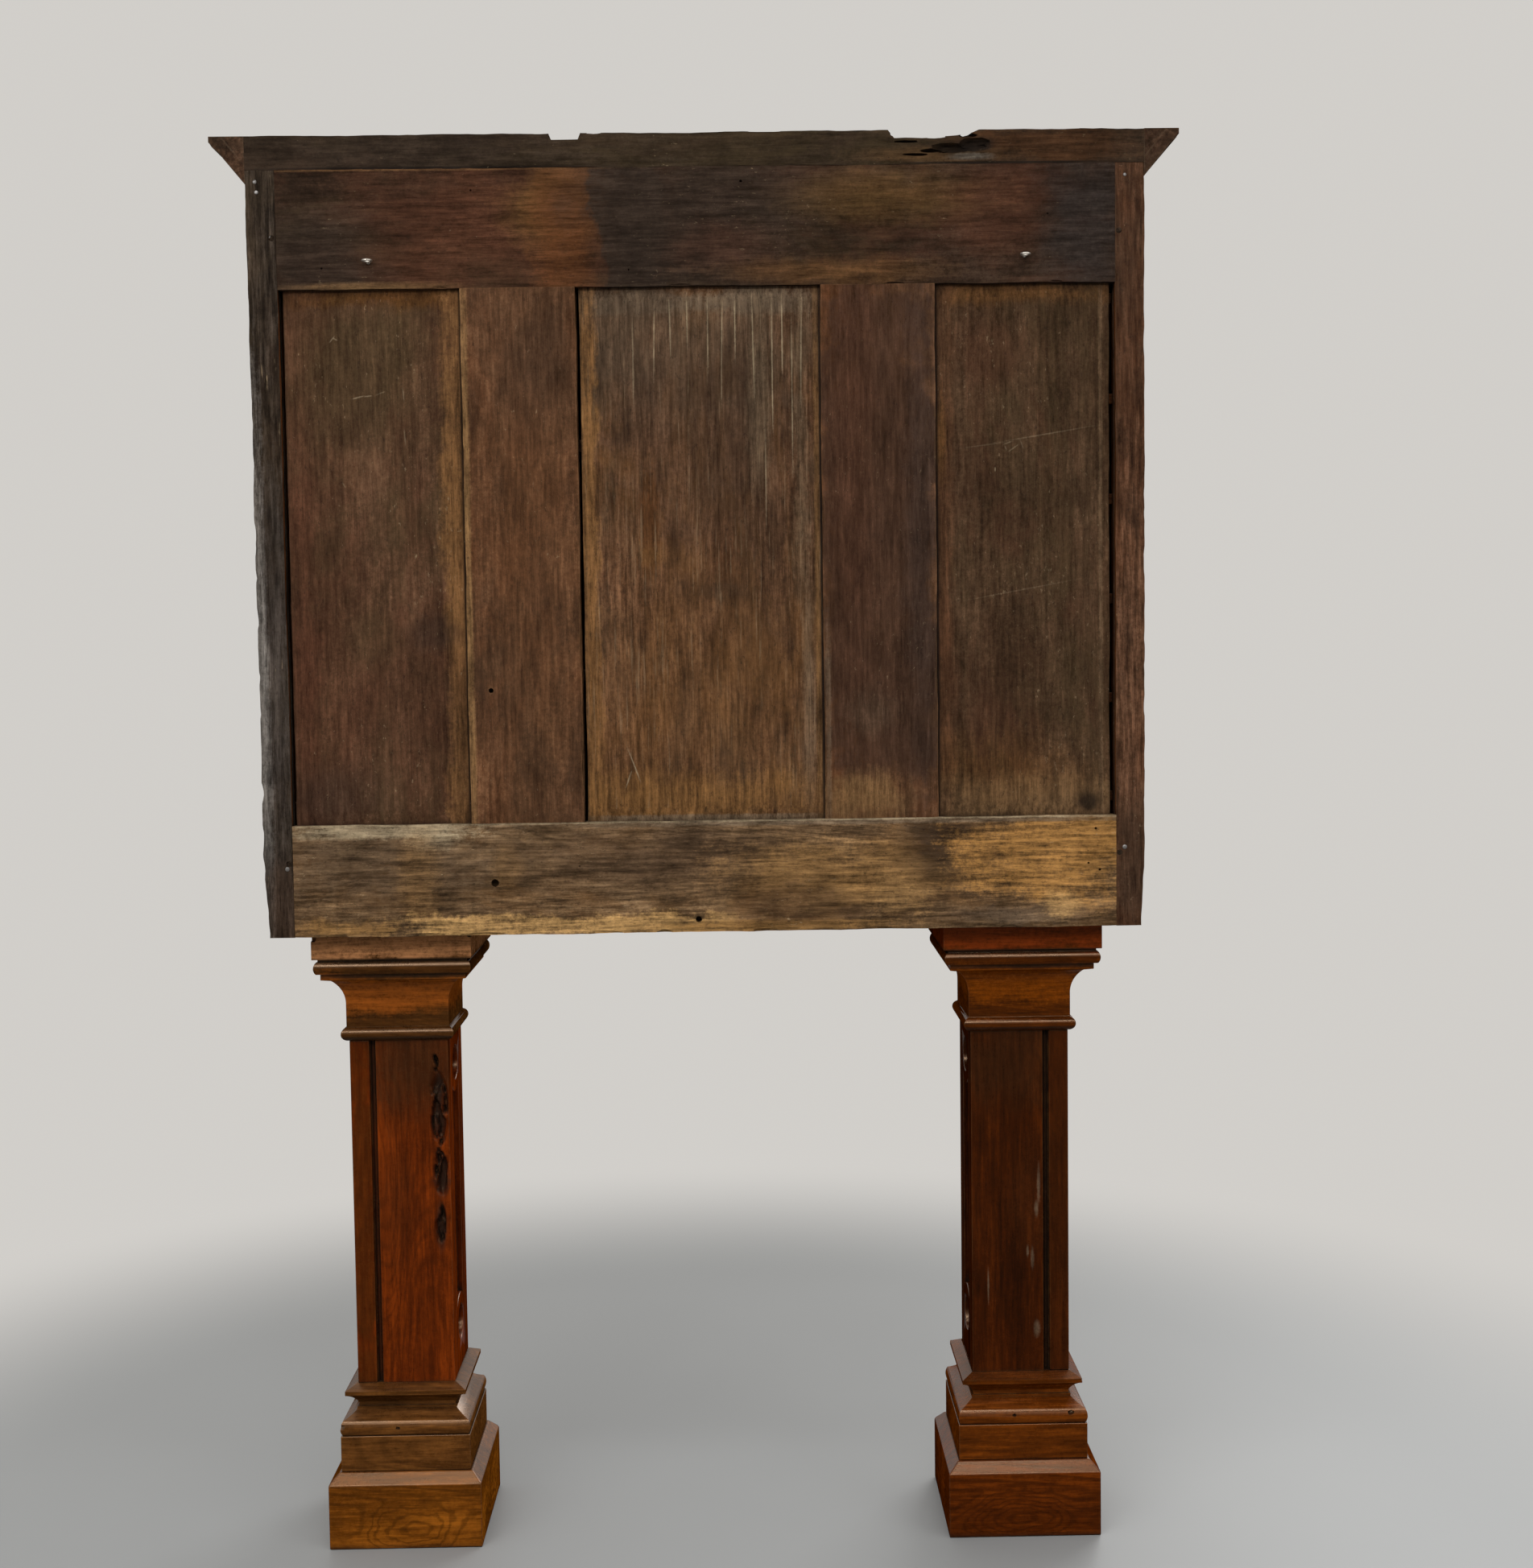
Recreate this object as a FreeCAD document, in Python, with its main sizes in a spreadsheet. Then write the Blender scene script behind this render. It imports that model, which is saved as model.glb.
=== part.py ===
import FreeCAD, Part
import math
import os

import Sketcher

# A coin cabinet on two square pillars. +Z is up, the drawers face -Y and the framed back faces +Y.
# The origin lies on the floor, under the middle of the whole piece.

# Driving lengths in millimetres, under the piece that they belong to.
SIZES = {
    # Pillar plinth and die
    "plinth_width": 187,
    "plinth_height": 80,
    "plinth_chamfer_width": 12,
    "plinth_chamfer_height": 12.5,
    "die_width": 159,
    "die_height": 44,
    # Pillar base moulding, from the torus up to the shaft
    "torus_foot_width": 154,
    "torus_height": 18,
    "torus_radius": 16,
    "base_slope_height": 12,
    "base_slope_radius": 60,
    "base_recess_height": 6,
    "base_recess_width": 119,
    "base_bead_width": 148,
    "base_bead_rise": 13,
    "base_bead_radius": 26,
    "base_bead_edge": 5,
    "base_top_height": 6.5,
    "base_top_width": 122,
    # Pillar shaft, a box of four boards
    "shaft_width": 120,
    "shaft_height": 428,
    "shaft_outer_thickness": 24,
    "shaft_board_thickness": 20,
    "sunk_depth": 9,
    "sunk_width": 50,
    "roundel_diameter": 44,
    "roundel_ring": 15,
    "upper_roundel_drop": 40,
    "lower_roundel_rise": 56,
    # Pillar capital, from the astragal up to the abacus
    "astragal_height": 17,
    "astragal_radius": 8.7,
    "astragal_foot_width": 121,
    "neck_width": 125,
    "neck_height": 29,
    "cove_height": 30.5,
    "cove_radius": 39,
    "cove_top_width": 154,
    "fillet_step": 2.5,
    "fillet_width": 175,
    "fillet_height": 7.5,
    "capital_bead_width": 184,
    "capital_bead_height": 14.5,
    "capital_bead_radius": 11,
    "quirk_width": 180,
    "quirk_height": 4,
    "abacus_width": 192,
    "abacus_height": 31.5,
    # Where the pillars stand
    "pillar_inset": 142,
    "pillar_setback": 29,
    # Loose tenons between the pillars and the carcass
    "tenon_width": 70,
    "tenon_thickness": 20,
    "tenon_in_abacus": 26,
    "tenon_in_board": 16,
    "tenon_gap": 0.1,
    # Carcass boards
    "carcass_width": 1046,
    "carcass_height": 896.5,
    "carcass_depth": 264,
    "side_thickness": 34,
    "bottom_thickness": 22,
    "top_thickness": 20,
    "partition_thickness": 34,
    "centre_bay_width": 300,
    "shelf_thickness": 12,
    "housing_depth": 6,
    "joint_gap": 0.1,
    "base_reveal": 2,
    "top_rail_height": 20,
    "top_rail_depth": 34,
    # Back frame and its fielded panels
    "back_thickness": 24,
    "back_top_rail_height": 137,
    "back_bottom_rail_height": 133,
    "muntin_width": 134,
    "centre_panel_width": 286,
    "groove_width": 8,
    "groove_depth": 9,
    "panel_gap": 0.4,
    "panel_rise": 5,
    "panel_bevel": 16,
    "panel_quirk": 1.5,
    # Pegs through the back tenons
    "peg_diameter": 6.4,
    "peg_length": 20,
    "peg_inset": 4.2,
    "peg_gap": 0.1,
    "upper_peg_drop": 78,
    "lower_peg_rise": 88,
    # Cornice
    "cornice_height": 39,
    "cornice_drop": 16,
    "cornice_reach": 41,
    "cornice_fascia": 7,
    "cornice_nose": 1,
    "cornice_splay_reach": 31,
    "cornice_splay_height": 38,
    "cornice_round_radius": 20,
    "crown_thickness": 14,
    "cornice_rail_thickness": 20,
    # Notch and broken stretch along the top of the cornice's back rail
    "notch_centre": 152,
    "notch_width": 37,
    "notch_depth": 7,
    "notch_slope": 3,
    "break_start": 224,
    "break_width": 106,
    "break_depth": 9,
    "hollow_start": 282,
    "hollow_width": 58,
    "hollow_height": 11,
    "hollow_base": 12,
    "hollow_depth": 9,
    # Front base moulding
    "base_moulding_height": 40,
    "base_moulding_reach": 14,
    "base_moulding_flat": 20,
    "base_moulding_step": 3,
    "base_moulding_cove": 13,
    "base_moulding_lip": 5,
    # Pilasters
    "pilaster_width": 28,
    "pilaster_thickness": 8,
    "flute_width": 10,
    "flute_depth": 3,
    "flute_end": 30,
    # Drawers
    "drawer_reveal": 1,
    "drawer_slide_gap": 0.3,
    "drawer_back_gap": 10,
    "drawer_front_thickness": 18,
    "drawer_field_rise": 4,
    "drawer_field_margin": 11,
    "drawer_field_bevel": 7,
    "drawer_side_thickness": 9,
    "drawer_side_drop": 12,
    "drawer_side_gap": 1.5,
    "drawer_bottom_thickness": 6,
    # Coin trays
    "tray_thickness": 8,
    "tray_gap": 0.5,
    "recess_side": 52,
    "recess_depth": 3.5,
    "recess_space": 16,
    # Square drawer knobs
    "knob_tenon_width": 7,
    "knob_tenon_length": 11,
    "knob_foot_width": 15,
    "knob_neck_width": 8,
    "knob_neck_length": 7,
    "knob_head_width": 20,
    "knob_head_length": 6,
    "knob_tip_width": 9,
    "knob_tip_length": 6,
    # Door
    "door_thickness": 20,
    "hinge_side_gap": 3,
    "lock_side_gap": 2,
    "door_end_gap": 1.5,
    "door_stile_width": 46,
    "door_rail_height": 46,
    "door_lower_height": 190,
    "door_groove_width": 8,
    "door_groove_depth": 6,
    "door_groove_setback": 6,
    "door_panel_rise": 5,
    "door_panel_reveal": 6,
    "door_panel_bevel": 4,
    # Shelves behind the door
    "niche_shelf_setback": 40,
    "niche_shelf_thickness": 14,
    # Hinges
    "hinge_height": 66,
    "hinge_inset": 70,
    "leaf_thickness": 1.2,
    "leaf_depth": 18,
    "knuckle_diameter": 7,
    "knuckle_gap": 0.3,
    "hinge_axis_reach": 6,
    "hinge_pin_diameter": 3.6,
    "hinge_pin_play": 0.05,
    # Lock
    "lock_rise": 405,
    "lock_plate_width": 56,
    "lock_plate_height": 56,
    "lock_plate_thickness": 2,
    "bolt_thickness": 5,
    "bolt_height": 14,
    "bolt_length": 52,
    "bolt_lift": 4,
    "bolt_inset": 0.5,
    "bolt_gap": 0.3,
    "bolt_notch_width": 10,
    "bolt_notch_height": 6,
    "bolt_throw": 12.7,
    "staple_width": 6,
    "staple_thickness": 2,
    "staple_inset": 4,
    "mortise_margin": 0.8,
    "escutcheon_width": 26,
    "escutcheon_height": 44,
    "escutcheon_thickness": 1,
    "escutcheon_cant": 7,
    # Key
    "key_shank_diameter": 5.6,
    "key_hole_diameter": 7,
    "key_slot_width": 4,
    "key_slot_length": 11,
    "key_bit_length": 9,
    "key_bit_thickness": 3,
    "key_bit_width": 4.4,
    "key_tip": 2,
    "key_collar_width": 8,
    "key_collar_thickness": 2.5,
    "key_collar_gap": 0.3,
    "key_neck": 5,
    "key_bow_width": 22,
    "key_bow_thickness": 3,
    "key_bow_rim": 4,
    # Wall eyes
    "eye_inset": 140.5,
    "eye_drop": 106,
    "eye_ring_inner": 8,
    "eye_ring_outer": 12.6,
    "eye_ring_height": 3.4,
    "eye_reach": 9,
    "eye_shank_width": 2.4,
    "eye_shank_depth": 16,
    "eye_shank_gap": 0.05,
    # One overrun for every cutting shape
    "overrun": 2,
}

COUNTS = {
    "drawer_rows": 7,
    "tray_columns": 4,
    "tray_rows": 2,
    "peg_sides": 8,
    "key_bow_sides": 8,
    "niche_shelves": 2,
}

# The broken top edge: shares of the break's width from its start, and of its depth.
BREAK_SHARES = ((0, 0), (0.07, 1), (0.42, 0.96), (0.75, 0.62), (0.9, 0.45), (1, 0))

# The hollow under it: shares of its width from its start, and of its height.
HOLLOW_SHARES = ((0, 0.1), (0.3, 0), (0.62, 0.3), (1, 0.72), (0.95, 1), (0.6, 0.75), (0.25, 0.55))


class Size:
    """A number together with the sheet expression that gives it."""

    def __init__(self, value, text):
        self.value = value
        self.text = text

    def __add__(self, other):
        other = as_size(other)
        return Size(self.value + other.value, f"({self.text} + {other.text})")

    def __sub__(self, other):
        other = as_size(other)
        return Size(self.value - other.value, f"({self.text} - {other.text})")

    def __mul__(self, other):
        other = as_size(other)
        return Size(self.value * other.value, f"({self.text} * {other.text})")

    def __truediv__(self, other):
        other = as_size(other)
        return Size(self.value / other.value, f"({self.text} / {other.text})")

    def __neg__(self):
        return Size(-self.value, f"(-{self.text})")


def as_size(number):
    """A plain count, share or zero as a Size."""
    if isinstance(number, Size):
        return number
    return Size(float(number), repr(float(number)))


class SizeTable:
    """Gives each named length of the sheet as an attribute."""

    def __getattr__(self, name):
        value = SIZES[name] if name in SIZES else COUNTS[name]
        return Size(float(value), f"Sizes.{name}")


doc = FreeCAD.newDocument("coin_cabinet")
size = SizeTable()
ZERO = as_size(0)


def fill_sheet():
    """Write every driving value into the sheet under its own alias."""
    sheet = doc.addObject("Spreadsheet::Sheet", "Sizes")
    for row, (name, value) in enumerate([*SIZES.items(), *COUNTS.items()], start=1):
        sheet.set(f"A{row}", name)
        sheet.set(f"B{row}", str(value))
        sheet.setAlias(f"B{row}", name)
    doc.recompute()


def bind(obj, name, length):
    obj.setExpression(name, as_size(length).text)


def place(obj, x=ZERO, y=ZERO, z=ZERO, turn=0, axis=(0, 0, 1)):
    """Stand an object at a point, turned by an angle in degrees about an axis through it."""
    obj.Placement = FreeCAD.Placement(FreeCAD.Vector(), FreeCAD.Rotation(FreeCAD.Vector(*axis), turn))
    bind(obj, "Placement.Base.x", x)
    bind(obj, "Placement.Base.y", y)
    bind(obj, "Placement.Base.z", z)
    return obj


def box(name, x, y, z):
    """A board between two values on each axis: x, y and z are (low, high) pairs."""
    board = doc.addObject("Part::Box", name)
    bind(board, "Length", as_size(x[1]) - x[0])
    bind(board, "Width", as_size(y[1]) - y[0])
    bind(board, "Height", as_size(z[1]) - z[0])
    return place(board, x[0], y[0], z[0])


def rod(name, diameter, length, x, y, z, along="z"):
    """A cylinder that starts at a point and runs along +z, +y, -y or +x."""
    turns = {"z": (0, (0, 0, 1)), "y": (-90, (1, 0, 0)), "-y": (90, (1, 0, 0)), "x": (90, (0, 1, 0))}
    angle, axis = turns[along]
    cylinder = doc.addObject("Part::Cylinder", name)
    bind(cylinder, "Radius", as_size(diameter) / 2)
    bind(cylinder, "Height", length)
    return place(cylinder, x, y, z, angle, axis)


def peg(name, width, length, x, y, z):
    """A whittled peg of that width across its flats, which starts at a point and runs along +y."""
    prism = doc.addObject("Part::Prism", name)
    bind(prism, "Polygon", size.peg_sides)
    bind(prism, "Circumradius", as_size(width) / (2 * math.cos(math.pi / COUNTS["peg_sides"])))
    bind(prism, "Height", length)
    return place(prism, x, y, z, -90, (1, 0, 0))


def group(name, pieces):
    """Separate solids kept together as one object."""
    compound = doc.addObject("Part::Compound", name)
    compound.Links = pieces
    return compound


def fused(name, pieces):
    union = doc.addObject("Part::MultiFuse", name)
    union.Shapes = pieces
    return union


def cut(name, base, tools):
    """The base less every tool."""
    result = doc.addObject("Part::Cut", name)
    result.Base = base
    result.Tool = tools[0] if len(tools) == 1 else group(name + "_tools", tools)
    return result


def mirrored(name, source):
    """The same piece on the other side of the cabinet."""
    mirror = doc.addObject("Part::Mirroring", name)
    mirror.Source = source
    mirror.Normal = FreeCAD.Vector(1, 0, 0)
    return mirror


def new_sketch(body, name, plane):
    """A sketch on one of the body's own origin planes."""
    support = [feature for feature in body.Origin.OriginFeatures if feature.Role == plane][0]
    sketch = body.newObject("Sketcher::SketchObject", name)
    sketch.AttachmentSupport = (support, [""])
    sketch.MapMode = "FlatFace"
    return sketch


def fix_point(sketch, edge, end, x, y):
    """Bind one end of a sketch edge to named distances from the sketch's origin."""
    for kind, length, axis in (("DistanceX", as_size(x), -2), ("DistanceY", as_size(y), -1)):
        if length.value == 0:
            sketch.addConstraint(Sketcher.Constraint("PointOnObject", edge, end, axis))
            continue
        number = sketch.addConstraint(Sketcher.Constraint(kind, -1, 1, edge, end, length.value))
        bind(sketch, f"Constraints[{number}]", length)


def fix_radius(sketch, edge, radius):
    number = sketch.addConstraint(Sketcher.Constraint("Radius", edge, as_size(radius).value))
    bind(sketch, f"Constraints[{number}]", radius)


def arc_between(start, end, radius, outward):
    """A minor arc between two points; outward arcs bulge to the right of the way from start to end."""
    chord = end - start
    half = chord.Length / 2
    right = FreeCAD.Vector(chord.y, -chord.x, 0).normalize()
    offset = math.sqrt(max(radius * radius - half * half, 0))
    centre = start + chord / 2 - right * offset * outward
    first, last = (start, end) if outward > 0 else (end, start)
    low = math.atan2(first.y - centre.y, first.x - centre.x)
    high = math.atan2(last.y - centre.y, last.x - centre.x)
    if high < low:
        high += 2 * math.pi
    circle = Part.Circle(centre, FreeCAD.Vector(0, 0, 1), radius)
    return Part.ArcOfCircle(circle, low, high)


def draw_outline(sketch, corners, arcs=None):
    """A closed outline through named corners, counter-clockwise.

    arcs maps the number of an edge to its radius and to 1 where it bulges out or -1 where it is hollow.
    """
    arcs = arcs or {}
    first = sketch.GeometryCount
    points = [FreeCAD.Vector(as_size(x).value, as_size(y).value, 0) for x, y in corners]
    ends = []
    for number, start in enumerate(points):
        stop = points[(number + 1) % len(points)]
        if number in arcs:
            radius, outward = arcs[number]
            sketch.addGeometry(arc_between(start, stop, radius.value, outward))
            ends.append((1, 2) if outward > 0 else (2, 1))
        else:
            sketch.addGeometry(Part.LineSegment(start, stop))
            ends.append((1, 2))
    for number in range(len(points)):
        following = (number + 1) % len(points)
        joint = (first + number, ends[number][1], first + following, ends[following][0])
        sketch.addConstraint(Sketcher.Constraint("Coincident", *joint))
    for number, (x, y) in enumerate(corners):
        fix_point(sketch, first + number, ends[number][0], x, y)
    for number, (radius, outward) in arcs.items():
        fix_radius(sketch, first + number, radius)


def draw_circle(sketch, x, y, diameter):
    radius = as_size(diameter) / 2
    centre = FreeCAD.Vector(as_size(x).value, as_size(y).value, 0)
    edge = sketch.addGeometry(Part.Circle(centre, FreeCAD.Vector(0, 0, 1), radius.value))
    fix_point(sketch, edge, 3, x, y)
    fix_radius(sketch, edge, radius)
    return edge


def new_body(name):
    return doc.addObject("PartDesign::Body", name)


def pad(body, sketch, length):
    """Thicken a sketch along its plane's normal: -Y from XZ, +X from YZ, +Z from XY."""
    feature = body.newObject("PartDesign::Pad", sketch.Name + "_pad")
    feature.Profile = sketch
    bind(feature, "Length", length)
    return feature


def pocket(body, sketch, depth=None):
    """Cut a sketch into the side that a pad of the same plane fills; with no depth, right through."""
    feature = body.newObject("PartDesign::Pocket", sketch.Name + "_pocket")
    feature.Profile = sketch
    feature.AllowMultiFace = True
    feature.Reversed = True
    if depth is None:
        feature.Type = "ThroughAll"
    else:
        bind(feature, "Length", depth)
    return feature


def padded_outline(name, plane, corners, length, arcs=None):
    """A body made by one pad."""
    body = new_body(name)
    sketch = new_sketch(body, name + "_outline", plane)
    draw_outline(sketch, corners, arcs)
    pad(body, sketch, length)
    return body


def rectangle(x_low, x_high, y_low, y_high):
    return [(x_low, y_low), (x_high, y_low), (x_high, y_high), (x_low, y_high)]


def fielded_board(name, width, height, thickness, rise, margin, bevel):
    """A board with a raised, bevelled field on its +Y face. Its back lies at y = 0 and its foot at z = 0."""
    board = box(name + "_ground", (-width / 2, width / 2), (ZERO, thickness), (ZERO, height))
    field = doc.addObject("Part::Wedge", name + "_field")
    bind(field, "Xmin", -width / 2 + margin)
    bind(field, "Xmax", width / 2 - margin)
    bind(field, "X2min", -width / 2 + margin + bevel)
    bind(field, "X2max", width / 2 - margin - bevel)
    bind(field, "Ymin", thickness)
    bind(field, "Ymax", thickness + rise)
    bind(field, "Zmin", margin)
    bind(field, "Zmax", height - margin)
    bind(field, "Z2min", margin + bevel)
    bind(field, "Z2max", height - margin - bevel)
    return fused(name, [board, field])


# Levels and planes that several pieces share
base_moulding_top = (size.torus_height + size.base_slope_height + size.base_recess_height
                     + size.base_bead_rise + size.base_bead_edge + size.base_top_height)
capital_block_height = (size.astragal_height + size.neck_height + size.cove_height + size.fillet_step
                        + size.fillet_height + size.capital_bead_height + size.quirk_height)
die_level = size.plinth_height + size.plinth_chamfer_height
base_level = die_level + size.die_height
shaft_level = base_level + base_moulding_top
capital_level = shaft_level + size.shaft_height
pillar_height = capital_level + capital_block_height + size.abacus_height
carcass_top = pillar_height + size.carcass_height
cornice_foot = carcass_top - size.cornice_drop

eye_back = size.eye_reach + size.eye_ring_outer / 2
back_y = (size.cornice_reach + size.carcass_depth - eye_back) / 2
front_y = back_y - size.carcass_depth
back_frame_y = back_y - size.back_thickness
pillar_y = back_y - size.pillar_setback - size.abacus_width / 2

half_width = size.carcass_width / 2
pillar_x = size.pillar_inset - half_width
inside_x = half_width - size.side_thickness
centre_half = size.centre_bay_width / 2
partition_x = centre_half + size.partition_thickness
bay_width = inside_x - partition_x
bay_centre = (inside_x + partition_x) / 2

floor_level = pillar_height + size.bottom_thickness
ceiling_level = carcass_top - size.top_thickness
first_shelf_top = pillar_height + size.base_moulding_height + size.base_reveal
rows_top = ceiling_level - size.top_rail_height
row_pitch = (rows_top - first_shelf_top + size.shelf_thickness) / size.drawer_rows
row_height = row_pitch - size.shelf_thickness


def square_block(name, side, arcs=None):
    """A block of square plan whose four faces carry one profile, mitred at the corners.

    side holds (half width, height) from the foot up, on the +X face.
    """
    arcs = arcs or {}
    count = len(side)
    corners = list(side) + [(-half, height) for half, height in reversed(side)]
    both = dict(arcs)
    for number, arc in arcs.items():
        both[2 * count - 2 - number] = arc
    width = size.abacus_width + size.plinth_width
    run = padded_outline(name + "_run", "XZ_Plane", corners, width, both)
    place(run, y=width / 2)
    crossed = place(group(name + "_crossed", [run]), turn=90)
    block = doc.addObject("Part::Common", name)
    block.Base = run
    block.Tool = crossed
    return block


def pillar_plinth():
    half = size.plinth_width / 2
    side = [(half, ZERO), (half, size.plinth_height), (half - size.plinth_chamfer_width, die_level)]
    return square_block("plinth", side)


def pillar_die():
    half = size.die_width / 2
    return box("die", (-half, half), (-half, half), (ZERO, size.die_height))


def pillar_base_moulding():
    """Torus, hollow slope, recess, bead and the slope on which the shaft stands."""
    torus = size.torus_foot_width / 2
    recess = size.base_recess_width / 2
    bead = size.base_bead_width / 2
    slope_top = size.torus_height + size.base_slope_height
    recess_top = slope_top + size.base_recess_height
    bead_foot = recess_top + size.base_bead_rise
    bead_top = bead_foot + size.base_bead_edge
    side = [(torus, ZERO), (torus, size.torus_height), (recess, slope_top), (recess, recess_top),
            (bead, bead_foot), (bead, bead_top), (size.base_top_width / 2, base_moulding_top)]
    arcs = {0: (size.torus_radius, 1), 1: (size.base_slope_radius, -1), 3: (size.base_bead_radius, -1)}
    return square_block("base_moulding_block", side, arcs)


def pillar_capital():
    """Astragal, neck, cove, fillet and bead in one block, with the abacus board on it."""
    levels = [size.astragal_height]
    for step in (size.neck_height, size.cove_height, size.fillet_step, size.fillet_height,
                 size.capital_bead_height, size.quirk_height):
        levels.append(levels[-1] + step)
    astragal, neck, cove, step, fillet, bead, quirk = levels
    side = [(size.astragal_foot_width / 2, ZERO), (size.neck_width / 2, astragal),
            (size.neck_width / 2, neck), (size.cove_top_width / 2, cove),
            (size.fillet_width / 2, step), (size.fillet_width / 2, fillet),
            (size.capital_bead_width / 2, fillet), (size.capital_bead_width / 2, bead),
            (size.quirk_width / 2, bead), (size.quirk_width / 2, quirk)]
    arcs = {0: (size.astragal_radius, 1), 2: (size.cove_radius, -1), 6: (size.capital_bead_radius, 1)}
    block = square_block("capital_block", side, arcs)
    half = size.abacus_width / 2
    board = box("abacus_board", (-half, half), (-half, half), (quirk, quirk + size.abacus_height))
    top = quirk + size.abacus_height
    wide = size.tenon_width / 2 + size.tenon_gap
    thin = size.tenon_thickness / 2 + size.tenon_gap
    z = (top - size.tenon_in_abacus, top + size.overrun)
    mortise = box("abacus_mortise", (-wide, wide), (-thin, thin), z)
    return group("capital", [block, cut("abacus", board, [mortise])])


def draw_sunk_work(sketch):
    """Two roundels and, between them, a long panel whose ends are hollowed round the roundels."""
    half = size.sunk_width / 2
    radius = size.roundel_diameter / 2 + size.roundel_ring
    upper = size.shaft_height - size.upper_roundel_drop
    lower = size.lower_roundel_rise
    circles = [draw_circle(sketch, ZERO, level, size.roundel_diameter) for level in (lower, upper)]
    reach = math.sqrt(radius.value ** 2 - half.value ** 2)
    low = lower.value + reach
    high = upper.value - reach
    corner = [FreeCAD.Vector(x, y, 0) for x, y in ((-half.value, low), (half.value, low),
                                                   (half.value, high), (-half.value, high))]
    bottom = sketch.addGeometry(arc_between(corner[0], corner[1], radius.value, -1))
    right = sketch.addGeometry(Part.LineSegment(corner[1], corner[2]))
    top = sketch.addGeometry(arc_between(corner[2], corner[3], radius.value, -1))
    left = sketch.addGeometry(Part.LineSegment(corner[3], corner[0]))
    for joint in ((bottom, 1, right, 1), (right, 2, top, 2), (top, 1, left, 1), (left, 2, bottom, 2),
                  (bottom, 3, circles[0], 3), (top, 3, circles[1], 3)):
        sketch.addConstraint(Sketcher.Constraint("Coincident", *joint))
    fix_radius(sketch, bottom, radius)
    fix_radius(sketch, top, radius)
    for edge, end, across in ((right, 1, half), (right, 2, half), (left, 1, -half), (left, 2, -half)):
        number = sketch.addConstraint(Sketcher.Constraint("DistanceX", -1, 1, edge, end, across.value))
        bind(sketch, f"Constraints[{number}]", across)


def draw_long_panel(sketch):
    """A plain sunk panel over the length of the roundels and the panel on the other faces."""
    half = size.sunk_width / 2
    rim = size.roundel_diameter / 2
    top = size.shaft_height - size.upper_roundel_drop + rim
    draw_outline(sketch, rectangle(-half, half, size.lower_roundel_rise - rim, top))


def shaft_board(name, low, high, thickness, draw_work=None):
    """A board of the shaft. Its show face is at y = 0, and x is measured from the shaft's middle."""
    body = padded_outline(name, "XZ_Plane", rectangle(low, high, ZERO, size.shaft_height), thickness)
    if draw_work:
        work = new_sketch(body, name + "_sunk_work", "XZ_Plane")
        draw_work(work)
        pocket(body, work, size.sunk_depth)
    return body


def pillar_pieces():
    """The pieces of the left pillar, each about the pillar's axis, with the level that it stands on."""
    half = size.shaft_width / 2
    lap = half - size.shaft_outer_thickness
    inner = half - size.shaft_board_thickness
    thin = size.shaft_board_thickness
    outer = shaft_board("outer_shaft_board", -half, half, size.shaft_outer_thickness, draw_long_panel)
    inner = shaft_board("inner_shaft_board", -inner, inner, thin, draw_sunk_work)
    front = shaft_board("front_shaft_board", -half, lap, thin, draw_sunk_work)
    back = shaft_board("back_shaft_board", -lap, half, thin)
    return {
        "plinth": (pillar_plinth(), ZERO, ZERO, ZERO, 0),
        "die": (pillar_die(), ZERO, ZERO, die_level, 0),
        "base_moulding": (pillar_base_moulding(), ZERO, ZERO, base_level, 0),
        "outer_board": (outer, -half, ZERO, shaft_level, 90),
        "inner_board": (inner, half, ZERO, shaft_level, -90),
        "front_board": (front, ZERO, -half, shaft_level, 180),
        "back_board": (back, ZERO, half, shaft_level, 0),
        "capital": (pillar_capital(), ZERO, ZERO, capital_level, 0),
    }


def pillars():
    nodes = []
    for name, (piece, x, y, z, turn) in pillar_pieces().items():
        left = place(group("left_pillar_" + name, [piece]), pillar_x + x, pillar_y + y, z, turn)
        nodes += [left, mirrored("right_pillar_" + name, left)]
    return nodes


def shelf_levels():
    """The top of each shelf in a side bay, from the lowest up."""
    return [first_shelf_top + row_pitch * row for row in range(COUNTS["drawer_rows"])]


def niche_levels():
    """The top of each shelf behind the door."""
    count = size.niche_shelves + 1
    clear = rows_top - first_shelf_top
    return [first_shelf_top + clear * (number + 1) / count for number in range(COUNTS["niche_shelves"])]


def shelf_housings(name, x):
    """Housings across a board for the ends of the side bay's shelves."""
    tops = enumerate(shelf_levels(), start=1)
    return [box(f"{name}_housing_{row}", x, (front_y - size.overrun, back_frame_y),
                (top - size.shelf_thickness - size.joint_gap, top + size.joint_gap)) for row, top in tops]


def back_groove(name, x):
    """The groove in a side board that takes the back frame's tongues."""
    y = groove_band(size.joint_gap)
    return box(name, x, y, (pillar_height - size.overrun, carcass_top + size.overrun))


def groove_band(play):
    """Low and high y of the tongues in the back frame, with play on each side."""
    middle = back_y - size.back_thickness / 2
    half = size.groove_width / 2
    return middle - half - play, middle + half + play


def peg_points():
    """Where the pegs pin the back rails' tenons to the side boards."""
    x = inside_x + size.peg_inset
    levels = (carcass_top - size.upper_peg_drop, pillar_height + size.lower_peg_rise)
    return [(x * side, level) for side in (-1, 1) for level in levels]


def peg_holes(name, side):
    wanted = [point for point in peg_points() if point[0].value * side > 0]
    return [peg(f"{name}_peg_hole_{number}", size.peg_diameter + size.peg_gap * 2,
                size.peg_length + size.overrun, x, back_y - size.peg_length, z)
            for number, (x, z) in enumerate(wanted)]


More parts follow.
